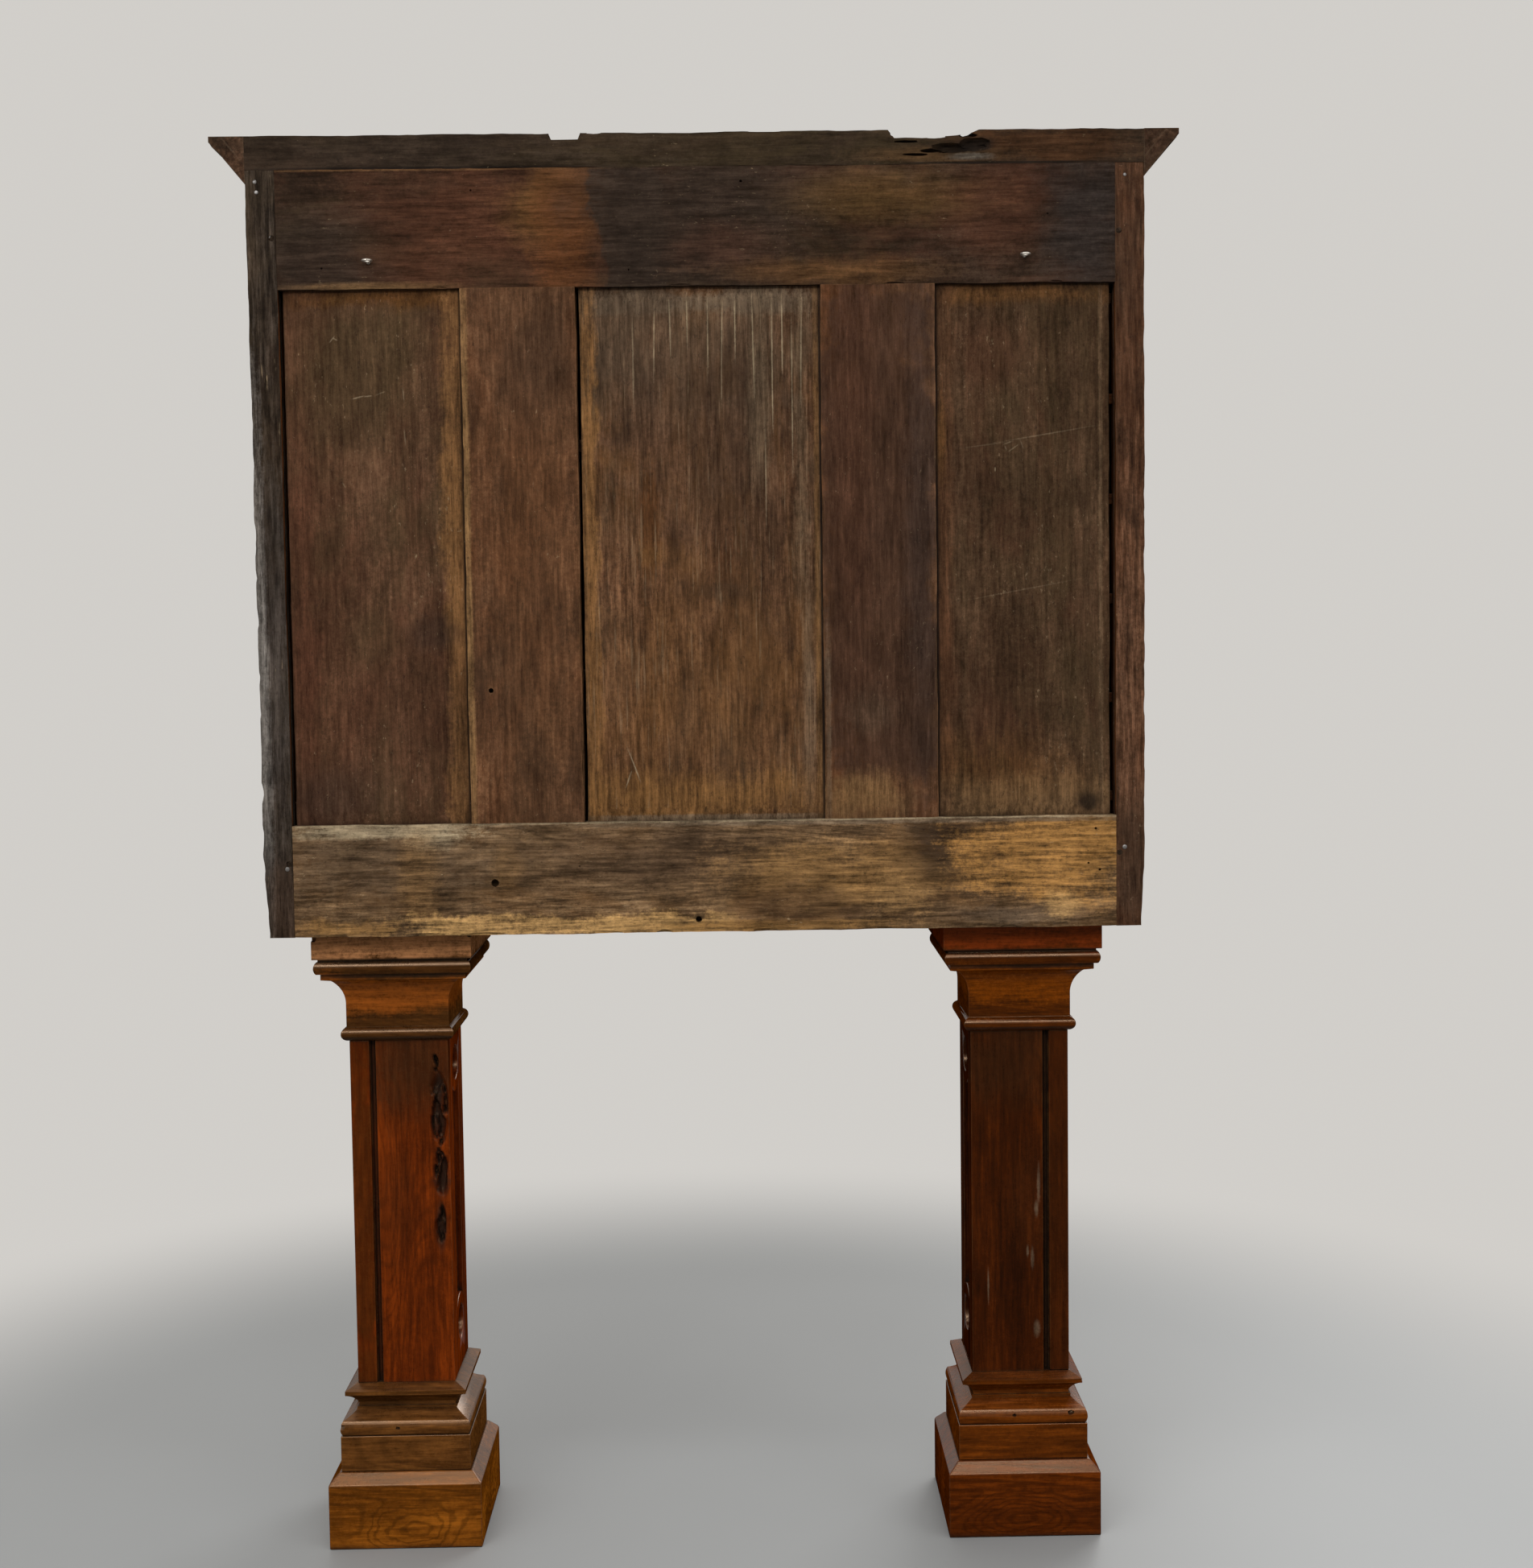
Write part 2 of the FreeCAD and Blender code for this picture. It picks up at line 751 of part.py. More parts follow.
def side_boards():
    """The left side board, housed for the shelves and grooved for the back, and its mirror image."""
    board = box("side_blank", (-half_width, -inside_x), (front_y, back_y), (pillar_height, carcass_top))
    depth = size.housing_depth
    tools = shelf_housings("side", (-inside_x - depth, -inside_x + size.overrun))
    groove_x = (-inside_x - size.groove_depth, -inside_x + size.overrun)
    tools.append(back_groove("side_groove", groove_x))
    tools += peg_holes("side", -1)
    left = cut("left_side", board, tools)
    return [left, mirrored("right_side", left)]


def bottom_board():
    board = box("bottom_blank", (-inside_x, inside_x), (front_y, back_frame_y), (pillar_height, floor_level))
    z = (pillar_height - size.overrun, pillar_height + size.tenon_in_board)
    mortises = [tenon_block(f"bottom_mortise_{number}", x, size.tenon_gap, z)
                for number, x in enumerate(tenon_places())]
    return cut("bottom_board", board, mortises)


def tenon_places():
    """The x of the tenon over each pillar."""
    return [pillar_x, -pillar_x]


def tenon_block(name, x, gap, z):
    """A pillar's loose tenon, or with a gap the mortise for it."""
    wide = size.tenon_width / 2 + gap
    thin = size.tenon_thickness / 2 + gap
    return box(name, (x - wide, x + wide), (pillar_y - thin, pillar_y + thin), z)


def top_board():
    return box("top_board", (-inside_x, inside_x), (front_y, back_frame_y), (ceiling_level, carcass_top))


def niche_shelf_zone(top):
    return top - size.niche_shelf_thickness, top


def partitions():
    """The two upright boards between the bays; the right one has the mortise for the lock's bolt."""
    depth = size.housing_depth
    y = (front_y, back_frame_y)
    nodes = []
    for side, name in ((-1, "left_partition"), (1, "right_partition")):
        near, far = centre_half * side, partition_x * side
        x = (far, near) if side < 0 else (near, far)
        board = box(name + "_blank", x, y, (floor_level, ceiling_level))
        outer = (far - size.overrun, far + depth) if side < 0 else (far - depth, far + size.overrun)
        inner = (near - depth, near + size.overrun) if side < 0 else (near - size.overrun, near + depth)
        tools = shelf_housings(name, outer)
        niche_front = front_y + size.niche_shelf_setback - size.joint_gap
        for number, top in enumerate(niche_levels(), start=1):
            low, high = niche_shelf_zone(top)
            tools.append(box(f"{name}_niche_{number}", inner, (niche_front, back_frame_y + size.overrun),
                             (low - size.joint_gap, high + size.joint_gap)))
        if side > 0:
            tools.append(lock_mortise(near))
        nodes.append(cut(name, board, tools))
    return nodes


def drawer_shelves():
    """The shelves of both side bays and the rail over each column of drawers."""
    grip = size.housing_depth - size.joint_gap
    pieces = []
    for side, name in ((-1, "left"), (1, "right")):
        low, high = sorted((partition_x * side, inside_x * side), key=lambda edge: edge.value)
        for row, top in enumerate(shelf_levels(), start=1):
            pieces.append(box(f"{name}_shelf_{row}", (low - grip, high + grip), (front_y, back_frame_y),
                              (top - size.shelf_thickness, top)))
        pieces.append(box(f"{name}_top_rail", (low, high), (front_y, front_y + size.top_rail_depth),
                          (rows_top, ceiling_level)))
    return group("drawer_shelves", pieces)


def centre_shelves():
    """The sill and head of the door's opening, and the shelves behind the door."""
    x = (-centre_half, centre_half)
    grip = size.housing_depth - size.joint_gap
    sill_z = (first_shelf_top - size.shelf_thickness, first_shelf_top)
    pieces = [box("door_sill", x, (front_y, back_frame_y), sill_z),
              box("door_head", x, (front_y, front_y + size.top_rail_depth), (rows_top, ceiling_level))]
    for number, top in enumerate(niche_levels(), start=1):
        pieces.append(box(f"niche_shelf_{number}", (-centre_half - grip, centre_half + grip),
                          (front_y + size.niche_shelf_setback, back_frame_y), niche_shelf_zone(top)))
    return group("centre_shelves", pieces)


panel_low = pillar_height + size.back_bottom_rail_height
panel_high = carcass_top - size.back_top_rail_height
tongue = size.groove_depth - size.panel_gap


def grooved_rail(name, low, high, groove_at_foot):
    """A back rail with a groove along one edge and a stub tenon at each end."""
    depth = size.groove_depth
    edge = (low - size.overrun, low + depth) if groove_at_foot else (high - depth, high + size.overrun)
    long_half = inside_x + tongue
    blank = fused(name + "_blank", [
        box(name + "_board", (-inside_x, inside_x), (back_frame_y, back_y), (low, high)),
        box(name + "_tenons", (-long_half, long_half), groove_band(ZERO), (low, high))])
    groove = box(name + "_groove", (-long_half - size.overrun, long_half + size.overrun),
                 groove_band(size.joint_gap), edge)
    tools = [groove]
    if name == "back_top_rail":
        tools += [eye_shank(f"eye_hole_{number}", x, size.eye_shank_gap, back_y + size.overrun)
                  for number, x in enumerate(eye_places())]
    for side in (-1, 1):
        tools += peg_holes(f"{name}_{side}", side)
    return cut(name, blank, tools)


def back_muntins():
    """Two uprights of the back frame, grooved on both edges, with a stub tenon at each end."""
    pieces = []
    near = size.centre_panel_width / 2
    far = near + size.muntin_width
    for side, name in ((-1, "left_muntin"), (1, "right_muntin")):
        low, high = sorted((near * side, far * side), key=lambda edge: edge.value)
        board = fused(name + "_blank", [
            box(name + "_board", (low, high), (back_frame_y, back_y), (panel_low, panel_high)),
            box(name + "_tenons", (low, high), groove_band(ZERO), (panel_low - tongue, panel_high + tongue))])
        z = (panel_low - size.groove_depth, panel_high + size.groove_depth)
        band = groove_band(size.joint_gap)
        grooves = [box(name + "_low_groove", (low - size.overrun, low + size.groove_depth), band, z),
                   box(name + "_high_groove", (high - size.groove_depth, high + size.overrun), band, z)]
        pieces.append(cut(name, board, grooves))
    return group("back_muntins", pieces)


def back_panels():
    """Fielded panels held by their tongues in the frame's grooves."""
    height = panel_high - panel_low + tongue * 2
    side_width = inside_x - size.centre_panel_width / 2 - size.muntin_width
    nodes = []
    for name, width, x in (("left_back_panel", side_width, side_width / 2 - inside_x),
                           ("centre_back_panel", size.centre_panel_width, ZERO),
                           ("right_back_panel", side_width, inside_x - side_width / 2)):
        board = fielded_board(name + "_board", width + tongue * 2, height, size.groove_width,
                              size.panel_rise, tongue + size.panel_quirk, size.panel_bevel)
        node = group(name, [board])
        nodes.append(place(node, x, groove_band(ZERO)[0], panel_low - tongue))
    return nodes


def mitred_run(name, corners, arcs, length, both_ends):
    """A moulding with its section in XZ, x outwards, run along -Y and mitred where it turns a corner."""
    reach = size.cornice_reach
    full = length + reach * (2 if both_ends else 1)
    body = padded_outline(name, "XZ_Plane", corners, full, arcs)
    mitre = new_sketch(body, name + "_mitre", "XY_Plane")
    draw_outline(mitre, [(-size.overrun, -full + reach + size.overrun), (-size.overrun, -full - size.overrun),
                         (reach + size.overrun, -full - size.overrun)])
    pocket(body, mitre)
    if both_ends:
        other = new_sketch(body, name + "_other_mitre", "XY_Plane")
        draw_outline(other, [(-size.overrun, size.overrun), (-size.overrun, -reach - size.overrun),
                             (reach + size.overrun, size.overrun)])
        pocket(body, other)
    return body


def crown_corners():
    """Section of the crown board: splay, rounded shoulder, nose and fascia, with a parallel back."""
    top = size.cornice_height + size.cornice_drop
    shoulder = top - size.cornice_fascia
    slope = size.cornice_splay_height / size.cornice_splay_reach
    back_reach = size.cornice_reach - size.crown_thickness
    corners = [(ZERO, ZERO), (size.cornice_splay_reach, size.cornice_splay_height),
               (size.cornice_reach - size.cornice_nose, shoulder), (size.cornice_reach, shoulder),
               (size.cornice_reach, top), (back_reach, top), (ZERO, top - back_reach * slope)]
    return corners, {1: (size.cornice_round_radius, 1)}


def glue_block_corners():
    """Section of the triangular block behind the crown board."""
    corners, arcs = crown_corners()
    (back_reach, top), (edge, foot) = corners[5], corners[6]
    return [(edge, foot), (back_reach, top), (edge, top)]


def cornice():
    """Front length and two returns of crown board on glue blocks, each nailed to an inner rail."""
    thin = size.cornice_rail_thickness
    depth = size.carcass_depth
    z = (carcass_top, carcass_top + size.cornice_height)
    corners, arcs = crown_corners()
    front = group("cornice_front_run", [
        mitred_run("front_crown", corners, arcs, size.carcass_width, True),
        mitred_run("front_glue_block", glue_block_corners(), None, size.carcass_width, True)])
    place(front, half_width + size.cornice_reach, front_y, cornice_foot, -90)
    front_rail = box("cornice_front_rail", (-half_width, half_width), (front_y, front_y + thin), z)
    side = group("cornice_side_run", [
        mitred_run("side_crown", corners, arcs, depth, False),
        mitred_run("side_glue_block", glue_block_corners(), None, depth, False)])
    place(side, half_width, back_y, cornice_foot)
    side_rail = box("cornice_side_rail", (half_width - thin, half_width), (front_y + thin, back_y - thin), z)
    right = group("cornice_right_return", [side, side_rail])
    return [group("cornice_front", [front, front_rail]), right, mirrored("cornice_left_return", right)]


def cornice_back_rail():
    """Plain rail behind the cornice, with a shallow notch and a broken stretch along its top edge."""
    top = size.cornice_height
    notch_half = size.notch_width / 2
    corners = [(-half_width, ZERO), (half_width, ZERO), (half_width, top),
               (size.notch_centre + notch_half, top),
               (size.notch_centre + notch_half - size.notch_slope, top - size.notch_depth),
               (size.notch_centre - notch_half + size.notch_slope, top - size.notch_depth),
               (size.notch_centre - notch_half, top)]
    for along, down in BREAK_SHARES:
        corners.append((-size.break_start - size.break_width * along, top - size.break_depth * down))
    corners.append((-half_width, top))
    body = padded_outline("cornice_back_rail", "XZ_Plane", corners, size.cornice_rail_thickness)
    hollow = new_sketch(body, "broken_hollow", "XZ_Plane")
    draw_outline(hollow, [(-size.hollow_start - size.hollow_width * along,
                           size.hollow_base + size.hollow_height * up) for along, up in HOLLOW_SHARES])
    pocket(body, hollow, size.hollow_depth)
    return place(body, y=back_y, z=carcass_top)


def base_moulding():
    """Moulding along the foot of the front: flat, step, cove and lip."""
    reach = size.base_moulding_reach
    flat = size.base_moulding_flat
    step = reach - size.base_moulding_step
    cove_top = flat + size.base_moulding_cove
    lip = size.base_moulding_lip
    height = size.base_moulding_height
    corners = [(-reach, ZERO), (ZERO, ZERO), (ZERO, height), (-lip, height), (-lip, cove_top),
               (-step, flat), (-reach, flat)]
    arcs = {4: (size.base_moulding_cove, -1)}
    body = padded_outline("base_moulding", "YZ_Plane", corners, size.carcass_width, arcs)
    return place(body, -half_width, front_y, pillar_height)


def pilaster():
    """One pilaster, standing on the base moulding, with a sunk flute."""
    half = size.pilaster_width / 2
    height = cornice_foot - pillar_height - size.base_moulding_height
    outline = rectangle(-half, half, ZERO, height)
    body = padded_outline("pilaster", "XZ_Plane", outline, size.pilaster_thickness)
    place(body, y=-size.pilaster_thickness, turn=180)
    flute = size.flute_width / 2
    sketch = new_sketch(body, "flute", "XZ_Plane")
    draw_outline(sketch, rectangle(-flute, flute, size.flute_end, height - size.flute_end))
    pocket(body, sketch, size.flute_depth)
    return body


def pilasters():
    """A pilaster on the front edge of each upright board."""
    flat = pilaster()
    places = (inside_x + size.side_thickness / 2, centre_half + size.partition_thickness / 2)
    level = pillar_height + size.base_moulding_height
    columns = []
    for number, x in enumerate([place_x * side for place_x in places for side in (-1, 1)], start=1):
        columns.append(place(group(f"pilaster_{number}", [flat]), x, front_y, level))
    return group("pilasters", columns)


eye_level = carcass_top - size.eye_drop


def eye_places():
    return [(half_width - size.eye_inset) * side for side in (-1, 1)]


def eye_shank(name, x, gap, end_y):
    """The square shank of a wall eye, or with a gap the hole for it."""
    half = size.eye_shank_width / 2 + gap
    start_y = back_y - size.eye_shank_depth - gap
    return box(name, (x - half, x + half), (start_y, end_y), (eye_level - half, eye_level + half))


def wall_eyes():
    """Two iron eyes driven into the back's top rail, each with its ring lying level."""
    eyes = []
    for number, x in enumerate(eye_places(), start=1):
        centre_y = back_y + size.eye_reach
        foot = eye_level - size.eye_ring_height / 2
        ring = rod(f"eye_disc_{number}", size.eye_ring_outer, size.eye_ring_height, x, centre_y, foot)
        shank = eye_shank(f"eye_shank_{number}", x, ZERO, centre_y)
        hole = rod(f"eye_bore_{number}", size.eye_ring_inner, size.eye_ring_height + size.overrun * 2,
                   x, centre_y, foot - size.overrun)
        eyes.append(cut(f"wall_eye_{number}", fused(f"eye_blank_{number}", [ring, shank]), [hole]))
    return group("wall_eyes", eyes)


def wooden_pegs():
    """Pegs in the back frame, and the loose tenons that hold the carcass on its pillars."""
    pegs = [peg(f"peg_{number}", size.peg_diameter, size.peg_length, x, back_y - size.peg_length, z)
            for number, (x, z) in enumerate(peg_points(), start=1)]
    z = (pillar_height - size.tenon_in_abacus, pillar_height + size.tenon_in_board)
    tenons = [tenon_block(f"tenon_{number}", x, ZERO, z) for number, x in enumerate(tenon_places(), start=1)]
    return group("wooden_pegs", pegs + tenons)


drawer_width = bay_width - size.drawer_reveal * 2
drawer_height = row_height - size.drawer_reveal * 2
drawer_length = size.carcass_depth - size.back_thickness - size.drawer_back_gap


def drawer_front():
    """Fielded drawer front with the hole for its knob. The carcass's front plane is y = 0."""
    thickness = size.drawer_front_thickness - size.drawer_field_rise
    board = fielded_board("drawer_front_board", drawer_width, drawer_height, thickness,
                          size.drawer_field_rise, size.drawer_field_margin, size.drawer_field_bevel)
    turned = group("drawer_front_turned", [board])
    place(turned, y=size.drawer_front_thickness, z=size.drawer_reveal, turn=180)
    half = size.knob_tenon_width / 2
    hole = box("knob_mortise", (-half, half), (-size.overrun, size.knob_tenon_length),
               (knob_level - half, knob_level + half))
    return cut("drawer_front", turned, [hole])


def square_taper(name, y, widths):
    """A square block that tapers along Y from one width to another."""
    taper = doc.addObject("Part::Wedge", name)
    bind(taper, "Ymin", y[0])
    bind(taper, "Ymax", y[1])
    for axis in "XZ":
        bind(taper, axis + "min", -widths[0] / 2)
        bind(taper, axis + "max", widths[0] / 2)
        bind(taper, axis + "2min", -widths[1] / 2)
        bind(taper, axis + "2max", widths[1] / 2)
    return taper


def drawer_knob():
    """A square knob: a neck that narrows, a head that widens, a faceted tip, and a tenon."""
    neck = -size.knob_neck_length
    head = neck - size.knob_head_length
    tip = head - size.knob_tip_length
    half = size.knob_tenon_width / 2
    tenon = box("knob_tenon", (-half, half), (neck / 2, size.knob_tenon_length), (-half, half))
    tapers = [square_taper("knob_neck", (neck, ZERO), (size.knob_neck_width, size.knob_foot_width)),
              square_taper("knob_head", (head, neck), (size.knob_head_width, size.knob_neck_width)),
              square_taper("knob_tip", (tip, head), (size.knob_tip_width, size.knob_head_width))]
    return place(fused("drawer_knob", [*tapers, tenon]), z=knob_level)


def coin_tray(width, depth, level, start):
    """Board that lies on the drawer's bottom, with square recesses for the coins."""
    body = new_body("coin_tray")
    outline = new_sketch(body, "tray_outline", "XY_Plane")
    draw_outline(outline, rectangle(-width / 2, width / 2, ZERO, depth))
    pad(body, outline, size.tray_thickness)
    sink = size.tray_thickness - size.recess_depth
    pitch = size.recess_side + size.recess_space
    spread_x = pitch * (size.tray_columns - 1)
    spread_y = pitch * (size.tray_rows - 1)
    low_x = -(spread_x + size.recess_side) / 2
    low_y = (depth - spread_y - size.recess_side) / 2
    sketch = new_sketch(body, "recess_outline", "XY_Plane")
    bind(sketch, "AttachmentOffset.Base.z", sink)
    draw_outline(sketch, rectangle(low_x, low_x + size.recess_side, low_y, low_y + size.recess_side))
    recess = pocket(body, sketch, size.recess_depth + size.overrun)
    pattern = body.newObject("PartDesign::LinearPattern", "recess_grid")
    pattern.Originals = [recess]
    pattern.Direction = (sketch, ["H_Axis"])
    pattern.Direction2 = (sketch, ["V_Axis"])
    bind(pattern, "Length", spread_x)
    bind(pattern, "Length2", spread_y)
    bind(pattern, "Occurrences", size.tray_columns)
    bind(pattern, "Occurrences2", size.tray_rows)
    body.Tip = pattern
    return place(body, y=start, z=level)


knob_level = size.drawer_reveal + drawer_height / 2


def drawer_pieces():
    """All the pieces of one drawer: x from the bay's middle, y from the front plane, z from its shelf."""
    thick = size.drawer_side_thickness
    half = bay_width / 2 - size.drawer_side_gap
    front = size.drawer_front_thickness
    foot = size.drawer_slide_gap
    z = (foot, drawer_height - size.drawer_side_drop)
    bottom_top = foot + size.drawer_bottom_thickness
    inside = (front, drawer_length - thick)
    sides = [box("drawer_left_side", (-half, thick - half), (front, drawer_length), z),
             box("drawer_right_side", (half - thick, half), (front, drawer_length), z)]
    back_range = (drawer_length - thick, drawer_length)
    back = box("drawer_back", (thick - half, half - thick), back_range, z)
    bottom = box("drawer_bottom", (thick - half, half - thick), inside, (foot, bottom_top))
    width = (half - thick - size.tray_gap) * 2
    depth = inside[1] - inside[0] - size.tray_gap * 2
    tray = coin_tray(width, depth, bottom_top, front + size.tray_gap)
    return [drawer_front(), *sides, back, bottom, tray, drawer_knob()]


def drawers():
    """Seven drawers in each side bay, numbered from the top."""
    pieces = drawer_pieces()
    nodes = []
    for side, name in ((-1, "left"), (1, "right")):
        for row, top in enumerate(reversed(shelf_levels()), start=1):
            drawer = group(f"{name}_drawer_{row}", pieces)
            nodes.append(place(drawer, bay_centre * side, front_y, top))
    return nodes


door_left = -centre_half + size.hinge_side_gap
door_right = centre_half - size.lock_side_gap
door_foot = first_shelf_top + size.door_end_gap
door_head = rows_top - size.door_end_gap
door_middle = (door_left + door_right) / 2
opening_left = door_left + size.door_stile_width
opening_right = door_right - size.door_stile_width
arch_radius = (opening_right - opening_left) / 2
lower_foot = door_foot + size.door_rail_height
lower_head = lower_foot + size.door_lower_height
upper_foot = lower_head + size.door_rail_height
spring_level = door_head - size.door_rail_height - arch_radius
key_x = door_right - size.door_stile_width / 2
key_level = door_foot + size.lock_rise
door_back = front_y + size.door_thickness
panel_front = front_y + size.door_groove_setback


def arched_slab(name, margin, y):
    """A slab as wide as the door's upper opening plus a margin, with a round head."""
    foot = upper_foot - margin
    x = (opening_left - margin, opening_right + margin)
    straight = box(name + "_straight", x, y, (foot, spring_level))
    head = rod(name + "_head", (arch_radius + margin) * 2, y[1] - y[0], door_middle, y[0], spring_level, "y")
    return fused(name, [straight, head])


def door_frame():
    """Two stiles, bottom rail, middle rail and the arched head, grooved for the panels."""
    y = (front_y, door_back)
    grooves = (panel_front - size.joint_gap, panel_front + size.door_groove_width + size.joint_gap)
    depth = size.door_groove_depth
    lower = box("lower_groove", (opening_left - depth, opening_right + depth), grooves,
                (lower_foot - depth, lower_head + depth))
    upper = arched_slab("upper_groove", depth, grooves)
    keyhole = keyhole_tools("stile_keyhole", front_y - size.overrun, door_back + size.overrun)
    z = (door_foot, door_head)
    pieces = []
    for name, x in (("hinge_stile", (door_left, opening_left)), ("lock_stile", (opening_right, door_right))):
        tools = [lower, upper] + (keyhole if name == "lock_stile" else [])
        pieces.append(cut(name, box(name + "_blank", x, y, z), tools))
    x = (opening_left, opening_right)
    bottom = box("bottom_rail_blank", x, y, (door_foot, lower_foot))
    pieces.append(cut("door_bottom_rail", bottom, [lower]))
    middle = box("middle_rail_blank", x, y, (lower_head, upper_foot))
    pieces.append(cut("door_middle_rail", middle, [lower, upper]))
    arch = arched_slab("arch_opening", ZERO, (front_y - size.overrun, door_back + size.overrun))
    head = box("door_head_blank", x, y, (spring_level, door_head))
    pieces.append(cut("arched_head", head, [arch, upper]))
    return group("door_frame", pieces)


def door_panels():
    """Upper arched and lower square panel, each a tongued board with a raised field."""
    depth = size.door_groove_depth - size.panel_gap
    tongues = (panel_front, panel_front + size.door_groove_width)
    reveal = -size.door_panel_reveal
    upper = new_body("upper_panel_field")
    field = new_sketch(upper, "upper_field_outline", "XZ_Plane")
    half = arch_radius + reveal
    straight = spring_level - upper_foot
    draw_outline(field, [(-half, -reveal), (half, -reveal), (half, straight), (ZERO, straight + half),
                         (-half, straight)], {2: (half, 1), 3: (half, 1)})
    pad(upper, field, size.door_panel_rise)
    bevel_front_edges(upper, size.door_panel_rise, size.door_panel_bevel)
    place(upper, door_middle, panel_front, upper_foot)
    lower_height = lower_head - lower_foot
    lower = fielded_board("lower_panel_board", arch_radius * 2 + depth * 2, lower_height + depth * 2,
                          size.door_groove_width, size.door_panel_rise, depth - reveal, size.door_panel_bevel)
    turned = place(group("lower_panel", [lower]), door_middle, tongues[1], lower_foot - depth, 180)
    upper_board = fused("upper_panel", [arched_slab("upper_panel_tongue", depth, tongues), upper])
    return group("door_panels", [upper_board, turned])


def bevel_front_edges(body, rise, bevel):
    """Bevel the edges of a raised field's face, which lies at y = -rise in its body."""
    doc.recompute()
    base = body.Tip
    names = [f"Edge{number}" for number, edge in enumerate(base.Shape.Edges, start=1)
             if abs(edge.BoundBox.YMin + rise.value) < SIZES["joint_gap"]
             and abs(edge.BoundBox.YMax + rise.value) < SIZES["joint_gap"]]
    chamfer = body.newObject("PartDesign::Chamfer", body.Name + "_bevel")
    chamfer.Base = (base, names)
    bind(chamfer, "Size", bevel)
    body.Tip = chamfer


def keyhole_tools(name, y_low, y_high):
    """A round hole for the key's shank and the slot below it for its bit."""
    round_hole = rod(name + "_round", size.key_hole_diameter, y_high - y_low, key_x, y_low, key_level, "y")
    half = size.key_slot_width / 2
    slot = box(name + "_slot", (key_x - half, key_x + half), (y_low, y_high),
               (key_level - size.key_slot_length, key_level))
    return [fused(name, [round_hole, slot])]


hinge_x = -centre_half + size.hinge_side_gap / 2
hinge_y = front_y - size.hinge_axis_reach
knuckle_height = (size.hinge_height - size.knuckle_gap) / 2


def hinge_feet():
    """The foot of each hinge."""
    return [door_foot + size.hinge_inset, door_head - size.hinge_inset - size.hinge_height]


def hinge_leaf(name, foot, plate_x, number):
    """A leaf in the gap beside the door. Its knuckle fills the lower half (0) or the upper half (1)."""
    near = hinge_y + size.knuckle_diameter / 2 + size.knuckle_gap
    plate_z = (foot, foot + size.hinge_height)
    low = foot + (knuckle_height + size.knuckle_gap) * number
    plate = box(name + "_plate", plate_x, (near, front_y + size.leaf_depth), plate_z)
    neck = box(name + "_neck", plate_x, (hinge_y, near), (low, low + knuckle_height))
    knuckle = rod(name + "_knuckle", size.knuckle_diameter, knuckle_height, hinge_x, hinge_y, low)
    bore = rod(name + "_bore", size.hinge_pin_diameter + size.hinge_pin_play * 2,
               size.hinge_height + size.overrun * 2, hinge_x, hinge_y, foot - size.overrun)
    return cut(name, fused(name + "_blank", [plate, neck, knuckle]), [bore])


def hinges():
    """Leaves on the jamb, leaves on the door, and the pins through both."""
    jamb_x = (-centre_half, -centre_half + size.leaf_thickness)
    door_x = (door_left - size.leaf_thickness, door_left)
    feet = list(enumerate(hinge_feet(), start=1))
    jamb = [hinge_leaf(f"jamb_leaf_{number}", foot, jamb_x, 0) for number, foot in feet]
    door = [hinge_leaf(f"door_leaf_{number}", foot, door_x, 1) for number, foot in feet]
    pins = [rod(f"hinge_pin_{number}", size.hinge_pin_diameter, size.hinge_height, hinge_x, hinge_y, foot)
            for number, foot in feet]
    return [group("jamb_hinge_leaves", jamb), group("door_hinge_leaves", door), group("hinge_pins", pins)]


bolt_low = key_level + size.bolt_lift
bolt_high = bolt_low + size.bolt_height
plate_y = (door_back, door_back + size.lock_plate_thickness)
bolt_y = (plate_y[1] + size.bolt_gap, plate_y[1] + size.bolt_gap + size.bolt_thickness)
bolt_end = door_right - size.bolt_inset


def lock_mortise(jamb_x):
    """The pocket in the right partition that the bolt enters."""
    margin = size.mortise_margin
    depth = bolt_end + size.bolt_throw - jamb_x + margin
    return box("lock_mortise", (jamb_x - size.overrun, jamb_x + depth),
               (bolt_y[0] - margin, bolt_y[1] + margin), (bolt_low - margin, bolt_high + margin))


def staple(name, x_low):
    """An iron strap bent over the bolt and riveted to the plate."""
    gap = size.bolt_gap
    thin = size.staple_thickness
    x = (x_low, x_low + size.staple_width)
    outer = box(name + "_strap", x, (plate_y[1], bolt_y[1] + gap + thin),
                (bolt_low - gap - thin, bolt_high + gap + thin))
    inner = box(name + "_way", (x[0] - size.overrun, x[1] + size.overrun),
                (plate_y[1] - size.overrun, bolt_y[1] + gap), (bolt_low - gap, bolt_high + gap))
    return cut(name, outer, [inner])


def lock_fittings():
    """Lock plate and staples on the back of the door, and the escutcheon round the keyhole on its front."""
    plate_right = door_right - size.bolt_inset
    plate_left = plate_right - size.lock_plate_width
    half = size.lock_plate_height / 2
    plate = box("plate_blank", (plate_left, plate_right), plate_y, (key_level - half, key_level + half))
    plate = cut("lock_plate", plate, keyhole_tools("plate_keyhole", plate_y[0] - size.overrun,
                                                   plate_y[1] + size.overrun))
    inset = size.staple_inset
    staples = [staple("left_staple", plate_left + inset),
               staple("right_staple", plate_right - inset - size.staple_width)]
    return group("lock_fittings", [fused("lock_plate_and_staples", [plate, *staples]), escutcheon()])


